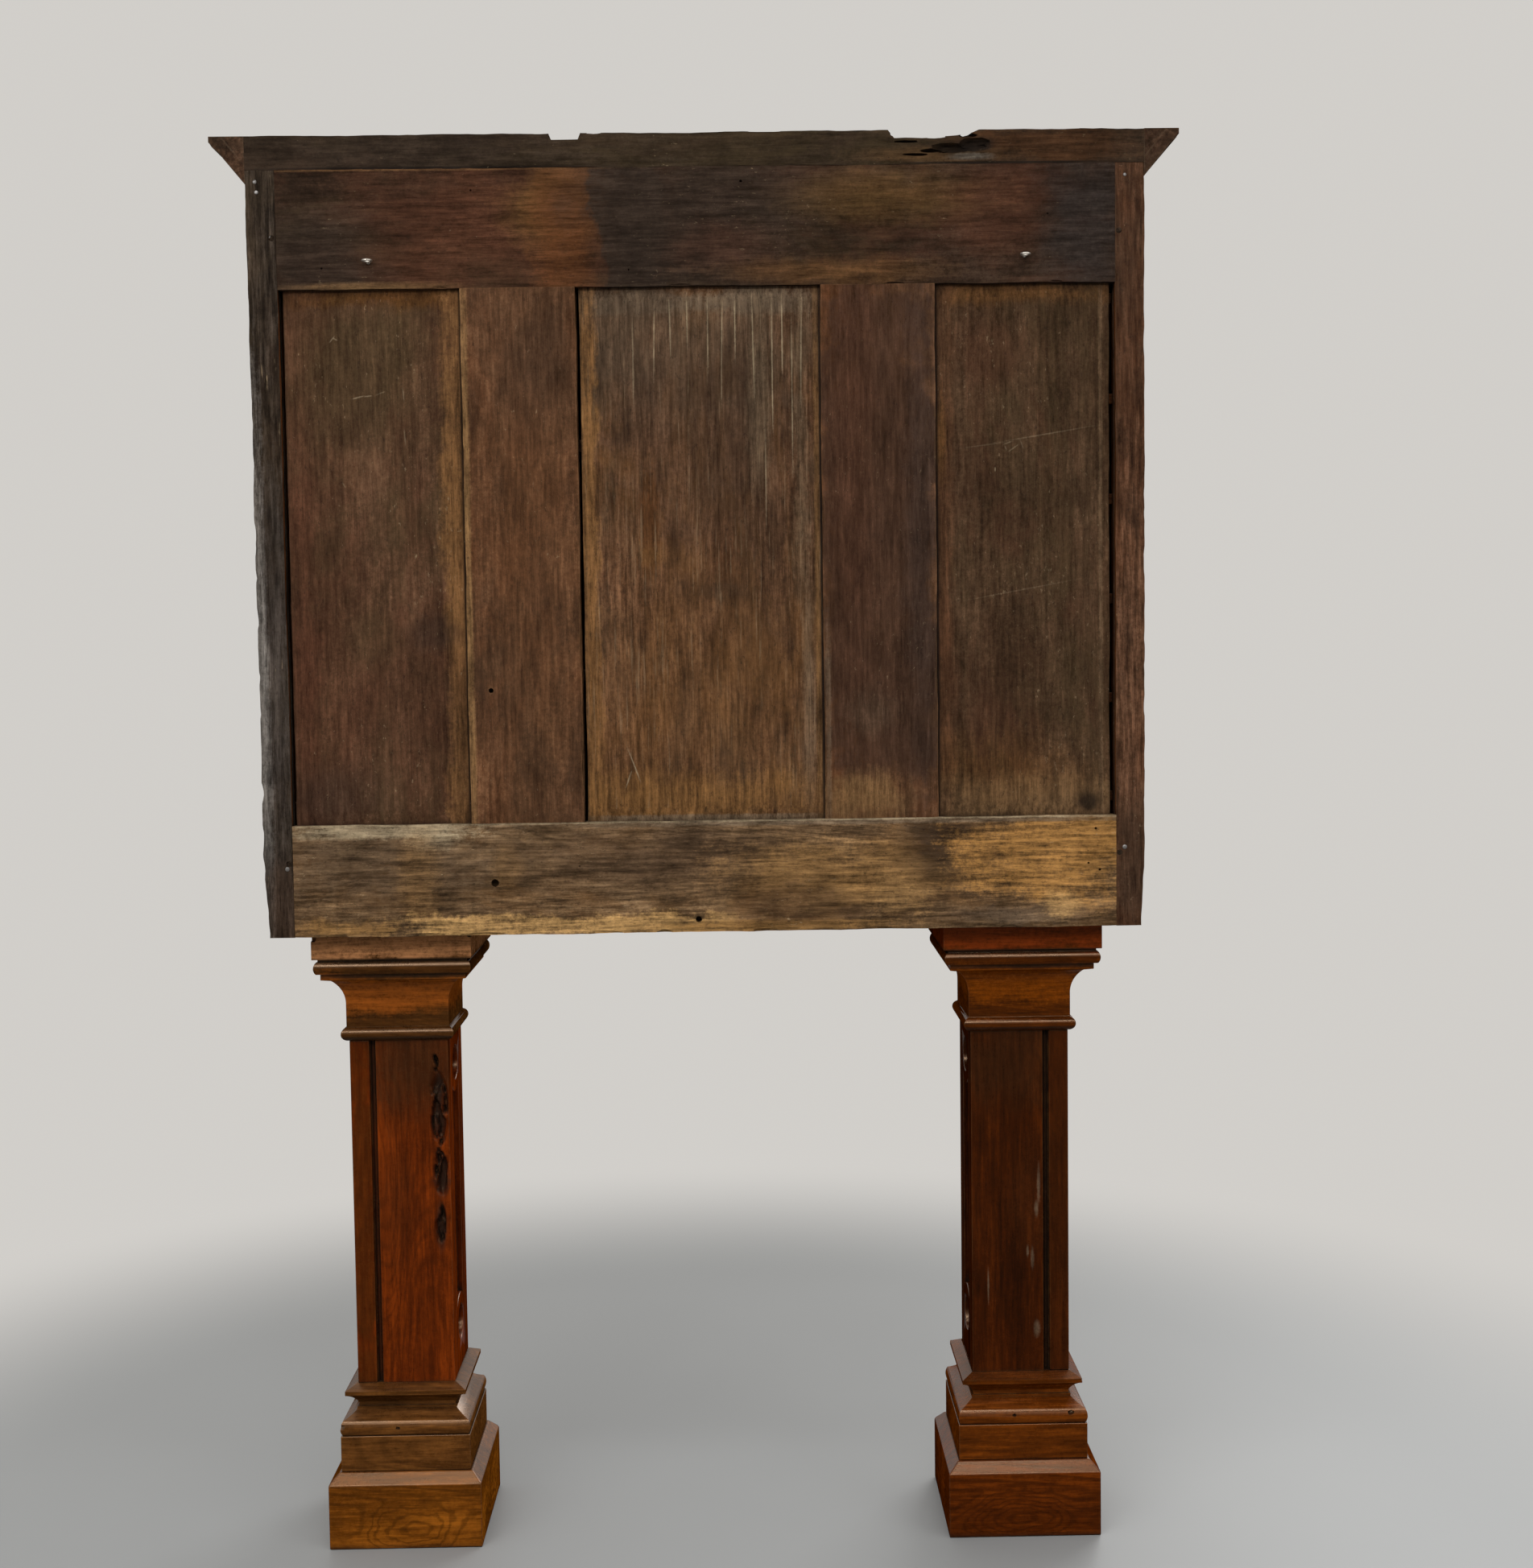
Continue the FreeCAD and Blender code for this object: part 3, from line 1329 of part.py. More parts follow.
def escutcheon():
    """A small shield with canted corners."""
    half = size.escutcheon_width / 2
    long_half = size.escutcheon_height / 2
    cant = size.escutcheon_cant
    outline = [(cant - half, -long_half), (half - cant, -long_half), (half, cant - long_half),
               (half, long_half - cant), (half - cant, long_half), (cant - half, long_half),
               (-half, long_half - cant), (-half, cant - long_half)]
    body = padded_outline("escutcheon_plate", "XZ_Plane", outline, size.escutcheon_thickness)
    place(body, key_x, front_y, key_level)
    holes = keyhole_tools("escutcheon_keyhole", front_y - size.escutcheon_thickness - size.overrun,
                          front_y + size.overrun)
    return cut("escutcheon", body, holes)


def lock_bolt():
    """The bolt, drawn back, with the notch that the key's bit turns in."""
    bar = box("bolt_bar", (bolt_end - size.bolt_length, bolt_end), bolt_y, (bolt_low, bolt_high))
    notch_middle = key_x - size.bolt_throw / 2
    half = size.bolt_notch_width / 2
    notch = box("bolt_notch", (notch_middle - half, notch_middle + half),
                (bolt_y[0] - size.overrun, bolt_y[1] + size.overrun),
                (bolt_low - size.overrun, bolt_low + size.bolt_notch_height))
    return cut("lock_bolt", bar, [notch])


def key_bow(middle):
    """The flat eight-sided ring by which the key is turned."""
    half = size.key_bow_thickness / 2
    eye = size.key_bow_width - size.key_bow_rim * 2
    rings = []
    for name, width, reach in (("key_bow_outside", size.key_bow_width, half),
                               ("key_bow_eye", eye, half + size.overrun)):
        ring = doc.addObject("Part::Prism", name)
        bind(ring, "Polygon", size.key_bow_sides)
        bind(ring, "Circumradius", width / 2)
        bind(ring, "Height", reach * 2)
        rings.append(place(ring, -reach, middle, ZERO, 90, (0, 1, 0)))
    return cut("key_bow", rings[0], [rings[1]])


def key():
    """The key in its keyhole, with its bit in the bolt's notch, turned back by half its swing."""
    collar_front = -size.escutcheon_thickness - size.key_collar_gap - size.key_collar_thickness
    bow_middle = collar_front - size.key_neck - size.key_bow_width / 2
    start = bow_middle + size.key_bow_width / 2 - size.key_bow_rim / 2
    tip = bolt_y[1] - front_y + size.key_tip
    shank = rod("key_shank", size.key_shank_diameter, tip - start, ZERO, start, ZERO, "y")
    collar = peg("key_collar", size.key_collar_width, size.key_collar_thickness, ZERO, collar_front, ZERO)
    half = size.key_bit_thickness / 2
    bit_end = bolt_y[1] - front_y - size.bolt_gap
    bit = box("key_bit", (-half, half), (bit_end - size.key_bit_width, bit_end), (ZERO, size.key_bit_length))
    whole = fused("key_whole", [shank, collar, bit, key_bow(bow_middle)])
    return place(group("key", [whole]), key_x, front_y, key_level, -45, (0, 1, 0))


def build_nodes():
    """Every piece of the cabinet, under the name of its file."""
    nodes = pillars()
    nodes += side_boards()
    nodes += [bottom_board(), top_board()]
    nodes += partitions()
    nodes += [drawer_shelves(), centre_shelves()]
    nodes.append(grooved_rail("back_top_rail", panel_high, carcass_top, True))
    nodes.append(grooved_rail("back_bottom_rail", pillar_height, panel_low, False))
    nodes.append(back_muntins())
    nodes += back_panels()
    nodes += cornice()
    nodes += [cornice_back_rail(), base_moulding(), pilasters()]
    nodes += [wall_eyes(), wooden_pegs()]
    nodes += [door_frame(), door_panels()]
    nodes += hinges()
    nodes += [lock_fittings(), lock_bolt(), key()]
    nodes += drawers()
    return nodes


def check(nodes):
    """Stop if any object failed or any piece isn't a valid solid."""
    for obj in doc.Objects:
        if "Invalid" in obj.State or "Error" in obj.State:
            raise RuntimeError(f"{obj.Name} failed: {obj.State}")
    for node in nodes:
        if node.Shape.isNull() or not node.Shape.isValid() or not node.Shape.Solids:
            raise RuntimeError(f"{node.Label} has no valid solid")


def write(nodes):
    os.makedirs("parts", exist_ok=True)
    for node in nodes:
        node.Shape.exportStep(f"parts/{node.Label}.step")


fill_sheet()
all_nodes = build_nodes()
doc.recompute()
check(all_nodes)
write(all_nodes)
print(len(all_nodes), "pieces written")
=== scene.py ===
"""Dresses the coin cabinet: worn boards, polished pillars, fittings, finishes, camera and light."""

import math

import bmesh
import bpy
from mathutils import Matrix, Vector, noise


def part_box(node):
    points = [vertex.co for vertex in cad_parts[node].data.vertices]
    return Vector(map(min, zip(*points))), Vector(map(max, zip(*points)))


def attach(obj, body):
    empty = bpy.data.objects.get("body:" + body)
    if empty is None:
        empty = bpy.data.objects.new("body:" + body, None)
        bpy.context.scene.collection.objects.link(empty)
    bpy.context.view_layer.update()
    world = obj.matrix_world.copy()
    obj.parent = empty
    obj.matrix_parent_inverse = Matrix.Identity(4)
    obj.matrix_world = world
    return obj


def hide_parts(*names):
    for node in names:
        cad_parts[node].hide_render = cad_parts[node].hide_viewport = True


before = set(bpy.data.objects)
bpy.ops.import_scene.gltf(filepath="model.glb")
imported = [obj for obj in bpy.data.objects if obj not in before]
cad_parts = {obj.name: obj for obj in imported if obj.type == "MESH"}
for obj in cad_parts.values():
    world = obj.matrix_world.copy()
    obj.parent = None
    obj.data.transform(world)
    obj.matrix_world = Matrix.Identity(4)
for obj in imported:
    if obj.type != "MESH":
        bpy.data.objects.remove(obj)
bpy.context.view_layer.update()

CABINET = "cabinet"
X, Y, Z = Vector((1, 0, 0)), Vector((0, 1, 0)), Vector((0, 0, 1))
AXES = {"X": X, "Y": Y, "Z": Z}
MERGE = 0.00002
FLAT_ANGLE = math.radians(1)
SMOOTH_ANGLE = math.radians(32)
FULL_TURN = math.radians(360)
QUARTER_TURN = FULL_TURN / 4
NOISE_SEED = 7
noise.seed_set(NOISE_SEED)

back_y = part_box("back_top_rail")[1].y
pillar_back_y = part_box("right_pillar_back_board")[1].y


# Finishes

# Colours are linear red, green and blue, as they show on the cabinet's back.
# The first colour is the near-black of soot, holes and dark joints, and also of painted shade in hollows and in the
# capitals' quirks.
SOOT_AND_SHADE = (0.012, 0.009, 0.007)
BLACKENED = (0.030, 0.020, 0.014)
BLUE_GREY = (0.028, 0.022, 0.019)
UMBER = (0.044, 0.025, 0.015)
OLIVE = (0.046, 0.031, 0.014)
RED_BROWN = (0.078, 0.030, 0.016)
RUST = (0.125, 0.038, 0.012)
OCHRE = (0.150, 0.068, 0.020)
PALE_OCHRE = (0.240, 0.125, 0.040)
STRAW = (0.400, 0.235, 0.090)
DUST = (0.150, 0.105, 0.066)
SILVER = (0.122, 0.084, 0.050)
FLECK = (0.300, 0.215, 0.125)
PALE_DUST = (0.290, 0.225, 0.140)
OPAQUE = 1.0

# In metres: how deep a stain goes, below what reach its outline stays straight, how far it wanders otherwise,
# and half the width of a scratch.
DEEP, THIN, WANDER, SCRATCH = 10.0, 0.008, 0.022, 0.0007
SOFT_EDGE = (0.80, 2.0)
TEAR_REACH = 4.0
METAL_SPOTS = 160.0


class Graph:
    """A tree of shader nodes. Its methods add nodes and return the outgoing socket."""

    def __init__(self, tree):
        self.tree = tree

    def put(self, socket, value):
        if isinstance(value, bpy.types.NodeSocket):
            self.tree.links.new(value, socket)
        else:
            socket.default_value = (*value, OPAQUE) if socket.type == "RGBA" else value

    def add(self, kind, inputs=None, **settings):
        node = self.tree.nodes.new("ShaderNode" + kind)
        for name, value in settings.items():
            setattr(node, name, value)
        for name, value in (inputs or {}).items():
            self.put(node.inputs[name], value)
        return node

    def math(self, operation, first, second=0, clamp=False):
        return self.add("Math", {0: first, 1: second}, operation=operation, use_clamp=clamp).outputs[0]

    def vector(self, operation, first, second=(0, 0, 0), result=0):
        return self.add("VectorMath", {0: first, 1: second}, operation=operation).outputs[result]

    def spread(self, value, low, high, to_low=0, to_high=1, slope="LINEAR"):
        return self.add("MapRange", {"Value": value, "From Min": low, "From Max": high, "To Min": to_low,
                                               "To Max": to_high}, interpolation_type=slope).outputs["Result"]

    def times(self, first, second, clamp=False):
        return self.math("MULTIPLY", first, second, clamp)

    def looked_at(self):
        """1 where the camera or a mirror looks, 0 for light that falls on the cabinet."""
        paths = self.add("LightPath").outputs
        mirrored = self.math("ADD", paths["Is Glossy Ray"], paths["Is Transmission Ray"], clamp=True)
        return self.math("ADD", paths["Is Camera Ray"], mirrored, clamp=True)


def stain_group():
    """A node group: how strongly a ragged oval or box stain shows at a place."""
    it = Graph(bpy.data.node_groups.new("stain", "ShaderNodeTree"))
    for name in ("Place", "Middle", "Reach"):
        it.tree.interface.new_socket(name=name, in_out="INPUT", socket_type="NodeSocketVector")
    for name in ("Bend", "Ragged", "Power", "Inner", "Outer", "Tear"):
        it.tree.interface.new_socket(name=name, in_out="INPUT", socket_type="NodeSocketFloat")
    it.tree.interface.new_socket(name="Mask", in_out="OUTPUT", socket_type="NodeSocketFloat")
    given = it.tree.nodes.new("NodeGroupInput").outputs
    away = it.vector("DIVIDE", it.vector("SUBTRACT", given["Place"], given["Middle"]), given["Reach"])
    split = it.add("SeparateXYZ", {0: it.vector("ABSOLUTE", away)}).outputs
    powers = [it.math("POWER", split[axis], given["Power"]) for axis in "XYZ"]
    total = it.math("ADD", it.math("ADD", powers[0], powers[1]), powers[2])
    distance = it.math("POWER", total, it.math("DIVIDE", 1, given["Power"]))
    bent = it.math("ADD", distance, given["Bend"])
    soft = it.spread(bent, given["Inner"], given["Outer"], 1, 0, "SMOOTHSTEP")
    torn = it.math("ADD", soft, it.times(given["Ragged"], given["Tear"]))
    mask = it.math("MINIMUM", torn, it.times(soft, TEAR_REACH), clamp=True)
    it.put(it.tree.nodes.new("NodeGroupOutput").inputs["Mask"], mask)
    return it.tree


STAIN_GROUP = stain_group()


class Finish(Graph):
    """The node tree of a material."""

    def __init__(self, name):
        self.material = bpy.data.materials.new(name)
        self.material.use_nodes = True
        super().__init__(self.material.node_tree)
        self.shader = self.tree.nodes["Principled BSDF"]
        self.place = self.add("TexCoord").outputs["Object"]

    def between(self, kind, value, to_low=0, to_high=1):
        """How far a value lies from the first to the second edge of its kind."""
        return self.spread(value, *EDGES[kind], to_low, to_high)

    def mixed(self, *shares):
        """The sum of values, each times its share."""
        total = None
        for value, share in shares:
            part = self.times(value, share)
            total = part if total is None else self.math("ADD", total, part)
        return total

    def stretched(self, scale, shift=(0, 0, 0)):
        return self.add("Mapping", {"Vector": self.place, "Scale": scale, "Location": shift}).outputs[0]

    def noise(self, where, scale=1, detail=3, roughness=0.55, distortion=0, colour=False):
        node = self.add("TexNoise", {"Vector": where, "Scale": scale, "Detail": detail,
                                               "Roughness": roughness, "Distortion": distortion})
        return node.outputs["Color" if colour else "Fac"]

    def ramp(self, factor, stops):
        node = self.add("ValToRGB", {"Fac": factor})
        points = node.color_ramp.elements
        while len(points) < len(stops):
            points.new(1)
        for point, (position, colour) in zip(points, stops):
            point.position = position
            point.color = (*colour, OPAQUE)
        return node.outputs["Color"]

    def blend(self, factor, first, second, mode="MIX"):
        node = self.add("Mix", data_type="RGBA", blend_type=mode)
        sockets = {socket.identifier: socket for socket in node.inputs}
        for name, value in (("Factor_Float", factor), ("A_Color", first), ("B_Color", second)):
            self.put(sockets[name], value)
        return next(socket for socket in node.outputs if socket.identifier == "Result_Color")

    def stain(self, where, bend, ragged, middle, reach, soft, power):
        node = self.add("Group", node_tree=STAIN_GROUP)
        for name, value in (("Place", where), ("Bend", bend), ("Ragged", ragged), ("Middle", middle),
                            ("Reach", reach), ("Power", power), ("Inner", 1 - soft), ("Outer", 1 + soft),
                            ("Tear", 1.25 - soft)):
            self.put(node.inputs[name], value)
        return node.outputs["Mask"]

    def hollows(self, reach):
        """How open a place lies: 0 deep in a hollow, 1 where nothing is nearer than the reach."""
        return self.add("AmbientOcclusion", {"Distance": reach}, samples=8).outputs["AO"]

    def relief(self, height, strength, distance):
        self.set(Normal=self.add("Bump", {"Height": height, "Strength": strength,
                                                    "Distance": distance}).outputs["Normal"])

    def set(self, **values):
        for name, value in values.items():
            self.put(self.shader.inputs[name.replace("_", " ")], value)


def metres(*lengths):
    """Lengths in metres, from millimetres."""
    return [length / 1000 for length in lengths]


def along_grain(grain, along, across):
    """Scales that are long with the grain and short across it."""
    return tuple(along if axis == grain else across for axis in "XYZ")


def tones(middle, depth):
    """A dark, a middle and a light tone of one wood."""
    low = tuple(c * (1 - depth) for c in middle)
    high = tuple(c * (1 + depth * lift) for c, lift in zip(middle, (1.7, 1.9, 2.1)))
    return low, middle, high


# The layers of the grain: the scale with the grain and across it, the detail, roughness and distortion.
LAYERS = {
    "band": (1.1, 12, 4, 0.55, 0.35), "strand": (15, 200, 4, 0.68, 0), "hair": (60, 820, 2, 0.6, 0),
    "cloud": (5.5, 5.5, 7, 0.66, 0.3), "mottle": (16, 55, 10, 0.8, 0.2), "figure": (1.3, 8, 1.5, 0.4, 0.25),
    "bend": (13, 13, 6, 0.62, 0.3), "pore": (45, 1000, 1, 0.5, 0), "pit": (150, 330, 3, 0.7, 0),
    "patch": (3, 8, 9, 0.74, 0.6)}


# Between which values each mark of the wood comes up, or goes where the second is the lower.
EDGES = {
    "tone": (0.4, 0.6), "hair": (0.3, 0.7), "line": (0.25, 0.95), "patch": (0.48, 0.62), "streak": (0.38, 0.62),
    "soil": (0.5, 0.72), "pore": (0.6, 0.72), "cloud": (0.4, 0.7), "mottle": (0.37, 0.63), "pit": (0.6, 0.68),
    "hollow": (0.82, 0.35), "arris": (0.995, 0.9), "bare": (0.35, 0.6), "upward": (0.1, 0.4), "shine": (0.3, 0.7),
    "gloss": (0.38, 0.62), "facing": (0.78, 0.45)}
HOLLOW_REACH, ARRIS_RADIUS, GRAIN_RELIEF = 0.012, 0.0022, 0.0011


def wood(name, grain, middle, stains=(), tints=(), shift=0, depth=0.62, shares=(0.24, 0.34, 0.18, 0.24),
         rings=0.25, ring_scale=42, knots=(), scratches=(), mottling=0.5, torn=(1.4, 1.6), pores=0.3,
         flecks=0, fleck_grain=(130, 240), fleck_start=0.64, pits=0.45, grime=0.4, hollow_shade=0.6,
         worn_tone=OCHRE, wear=0, rough=(0.6, 0.9), shine=0.03, tinge=(1, 0.9, 0.8), rubbed=0, bump=0.35):
    """Wood with its grain along one axis.

    Lengths are in millimetres. The shares are those of its bands, strands, clouds and grit. A stain is its
    middle's x and z, its reach in x and z, its colour and strength, and its softness and power where they aren't
    SOFT_EDGE. A tint is a colour and its strength. A knot is its middle's x and z, its reach in x and z and how
    strongly the rings bend round it. A scratch is its middle's x and z, half its length, its tilt in degrees and
    its strength.
    """
    it = Finish(name)

    def layer(kind, drift):
        along, across, *rest = LAYERS[kind]
        return it.noise(it.stretched(along_grain(grain, along, across), drift), 1, *rest)

    drift = (shift, shift * 0.7, shift * 1.3)
    band, strand, hair, cloud, mottle, figure, bend, pore, pit = (layer(kind, drift) for kind in LAYERS
                                                                  if kind != "patch")
    grit = it.noise(it.place, 170, 4, 0.8)
    tone = it.mixed(*zip((band, strand, cloud, grit), shares))
    low, middle_tone, high = tones(middle, depth)
    colour = it.ramp(it.between("tone", tone), [(0, low), (0.5, middle_tone), (1, high)])
    for x, z, reach_x, reach_z, swell in knots:
        x, z, reach_x, reach_z = metres(x, z, reach_x, reach_z)
        uneven = it.spread(it.noise(it.place, 28, 3), 0, 1, -0.45, 0.45)
        eye = it.stain(it.place, uneven, 0, (x, 0, z), (reach_x, DEEP, reach_z), 1, 2)
        figure = it.math("ADD", figure, it.times(eye, swell))
    line = it.math("SINE", it.times(figure, ring_scale * 6.283))
    line = it.between("line", it.math("ADD", line, it.between("hair", hair, -0.35, 0.35)))
    colour = it.blend(it.times(line, rings), colour, low)
    for number, (tint, amount) in enumerate(tints, start=1):
        patch = layer("patch", (shift + number * 5.3,) * 3)
        colour = it.blend(it.between("patch", patch, 0, amount), colour, tint)
    bend = it.spread(bend, 0, 1, -1.1, 1.1)
    ragged = it.mixed((it.math("SUBTRACT", cloud, 0.5), 1.2), (it.math("SUBTRACT", strand, 0.5), torn[0]),
                      (it.math("SUBTRACT", grit, 0.5), torn[1]))
    ripple = it.vector("SUBTRACT", it.noise(it.place, 45, 5, 0.65, colour=True), (0.5, 0.5, 0.5))
    wandering = it.vector("ADD", it.place, it.vector("MULTIPLY", ripple, (WANDER, WANDER, WANDER)))
    streaks = it.between("streak", it.mixed((strand, 0.45), (hair, 0.2), (grit, 0.35)), 0.66, 1.34)
    for x, z, reach_x, reach_z, stain_tone, strength, *edge in stains:
        x, z, reach_x, reach_z = metres(x, z, reach_x, reach_z)
        thin = min(reach_x, reach_z) < THIN
        mask = it.stain(it.place if thin else wandering, 0 if thin else bend, ragged, (x, 0, z),
                        (reach_x, DEEP, reach_z), *(edge or SOFT_EDGE))
        streaked = it.blend(1, stain_tone, streaks, "MULTIPLY")
        colour = it.blend(it.times(mask, strength), colour, streaked)
    for x, z, reach, tilt, strength in scratches:
        x, z, reach = metres(x, z, reach)
        lie = it.add("Mapping", {"Vector": it.place, "Location": (x, 0, z),
                                           "Rotation": (0, -math.radians(tilt), 0)}, vector_type="TEXTURE")
        mask = it.stain(lie.outputs[0], 0, ragged, (0, 0, 0), (reach, DEEP, SCRATCH), 0.6, 3)
        colour = it.blend(it.times(mask, strength), colour, PALE_DUST)
    soiled = it.between("soil", it.noise(it.place, 8, 8, 0.7, 0.2), 0, grime)
    colour = it.blend(soiled, colour, low)
    pore = it.between("pore", pore)
    colour = it.blend(it.times(pore, pores), colour, low)
    if flecks:
        speck = it.noise(it.stretched(along_grain(grain, *fleck_grain), drift), 1, 4, 0.7)
        speck = it.math("ADD", speck, it.between("cloud", cloud, -0.06, 0.06))
        colour = it.blend(it.spread(speck, fleck_start, fleck_start + 0.1, 0, flecks), colour, FLECK)
    mottle = it.between("mottle", it.mixed((mottle, 0.7), (strand, 0.3)), 1 - mottling, 1 + mottling)
    colour = it.blend(1, colour, mottle, "MULTIPLY")
    colour = it.blend(it.between("pit", pit, 0, pits), colour, SOOT_AND_SHADE)
    # Painted shade: the wood is darkened in hollows, quirks and between parts, by ambient occlusion.
    colour = it.blend(it.times(it.between("hollow", it.hollows(HOLLOW_REACH)), hollow_shade), colour, SOOT_AND_SHADE)
    if wear:
        rounded = it.add("Bevel", {"Radius": ARRIS_RADIUS}, samples=4).outputs["Normal"]
        flat = it.add("NewGeometry").outputs["Normal"]
        same = it.vector("DOT_PRODUCT", rounded, flat, "Value")
        bare = it.between("arris", same, 0, wear)
        bare = it.times(bare, it.between("bare", it.noise(it.place, 70, 4)), clamp=True)
        colour = it.blend(bare, colour, worn_tone)
    gloss = it.mixed((cloud, 0.55), (strand, 0.25), (grit, 0.2))
    level = shine
    if rubbed:
        lie = it.add("SeparateXYZ", {0: it.add("NewGeometry").outputs["Normal"]}).outputs["Z"]
        level = it.mixed((it.between("upward", lie), rubbed), (it.between("shine", gloss, 0.8, 1.2), shine))
    facing = it.add("LayerWeight", {"Blend": 0.5}).outputs["Facing"]
    it.set(Base_Color=colour, Specular_IOR_Level=it.times(level, it.between("facing", facing)),
           Specular_Tint=tinge, Roughness=it.between("gloss", gloss, *rough))
    it.relief(it.mixed((strand, 0.6), (hair, 0.25), (grit, 0.25), (pore, -0.4), (line, -0.15)), bump, GRAIN_RELIEF)
    return it.material


def metal(name, tone, tarnish, rough):
    it = Finish(name)
    spots = it.noise(it.place, METAL_SPOTS, 5, 0.65)
    broad = it.noise(it.place, METAL_SPOTS / 6, 3, 0.6)
    mask = it.mixed((it.spread(spots, 0.45, 0.7), 0.6), (it.spread(broad, 0.45, 0.7), 0.4),
                    (it.spread(it.hollows(0.004), 0.9, 0.4), 0.7))
    mask = it.math("MINIMUM", mask, 1)
    it.set(Base_Color=it.blend(mask, tone, tarnish), Metallic=0.9, Roughness=it.spread(mask, 0, 1, *rough))
    it.relief(spots, 0.25, 0.0004)
    return it.material


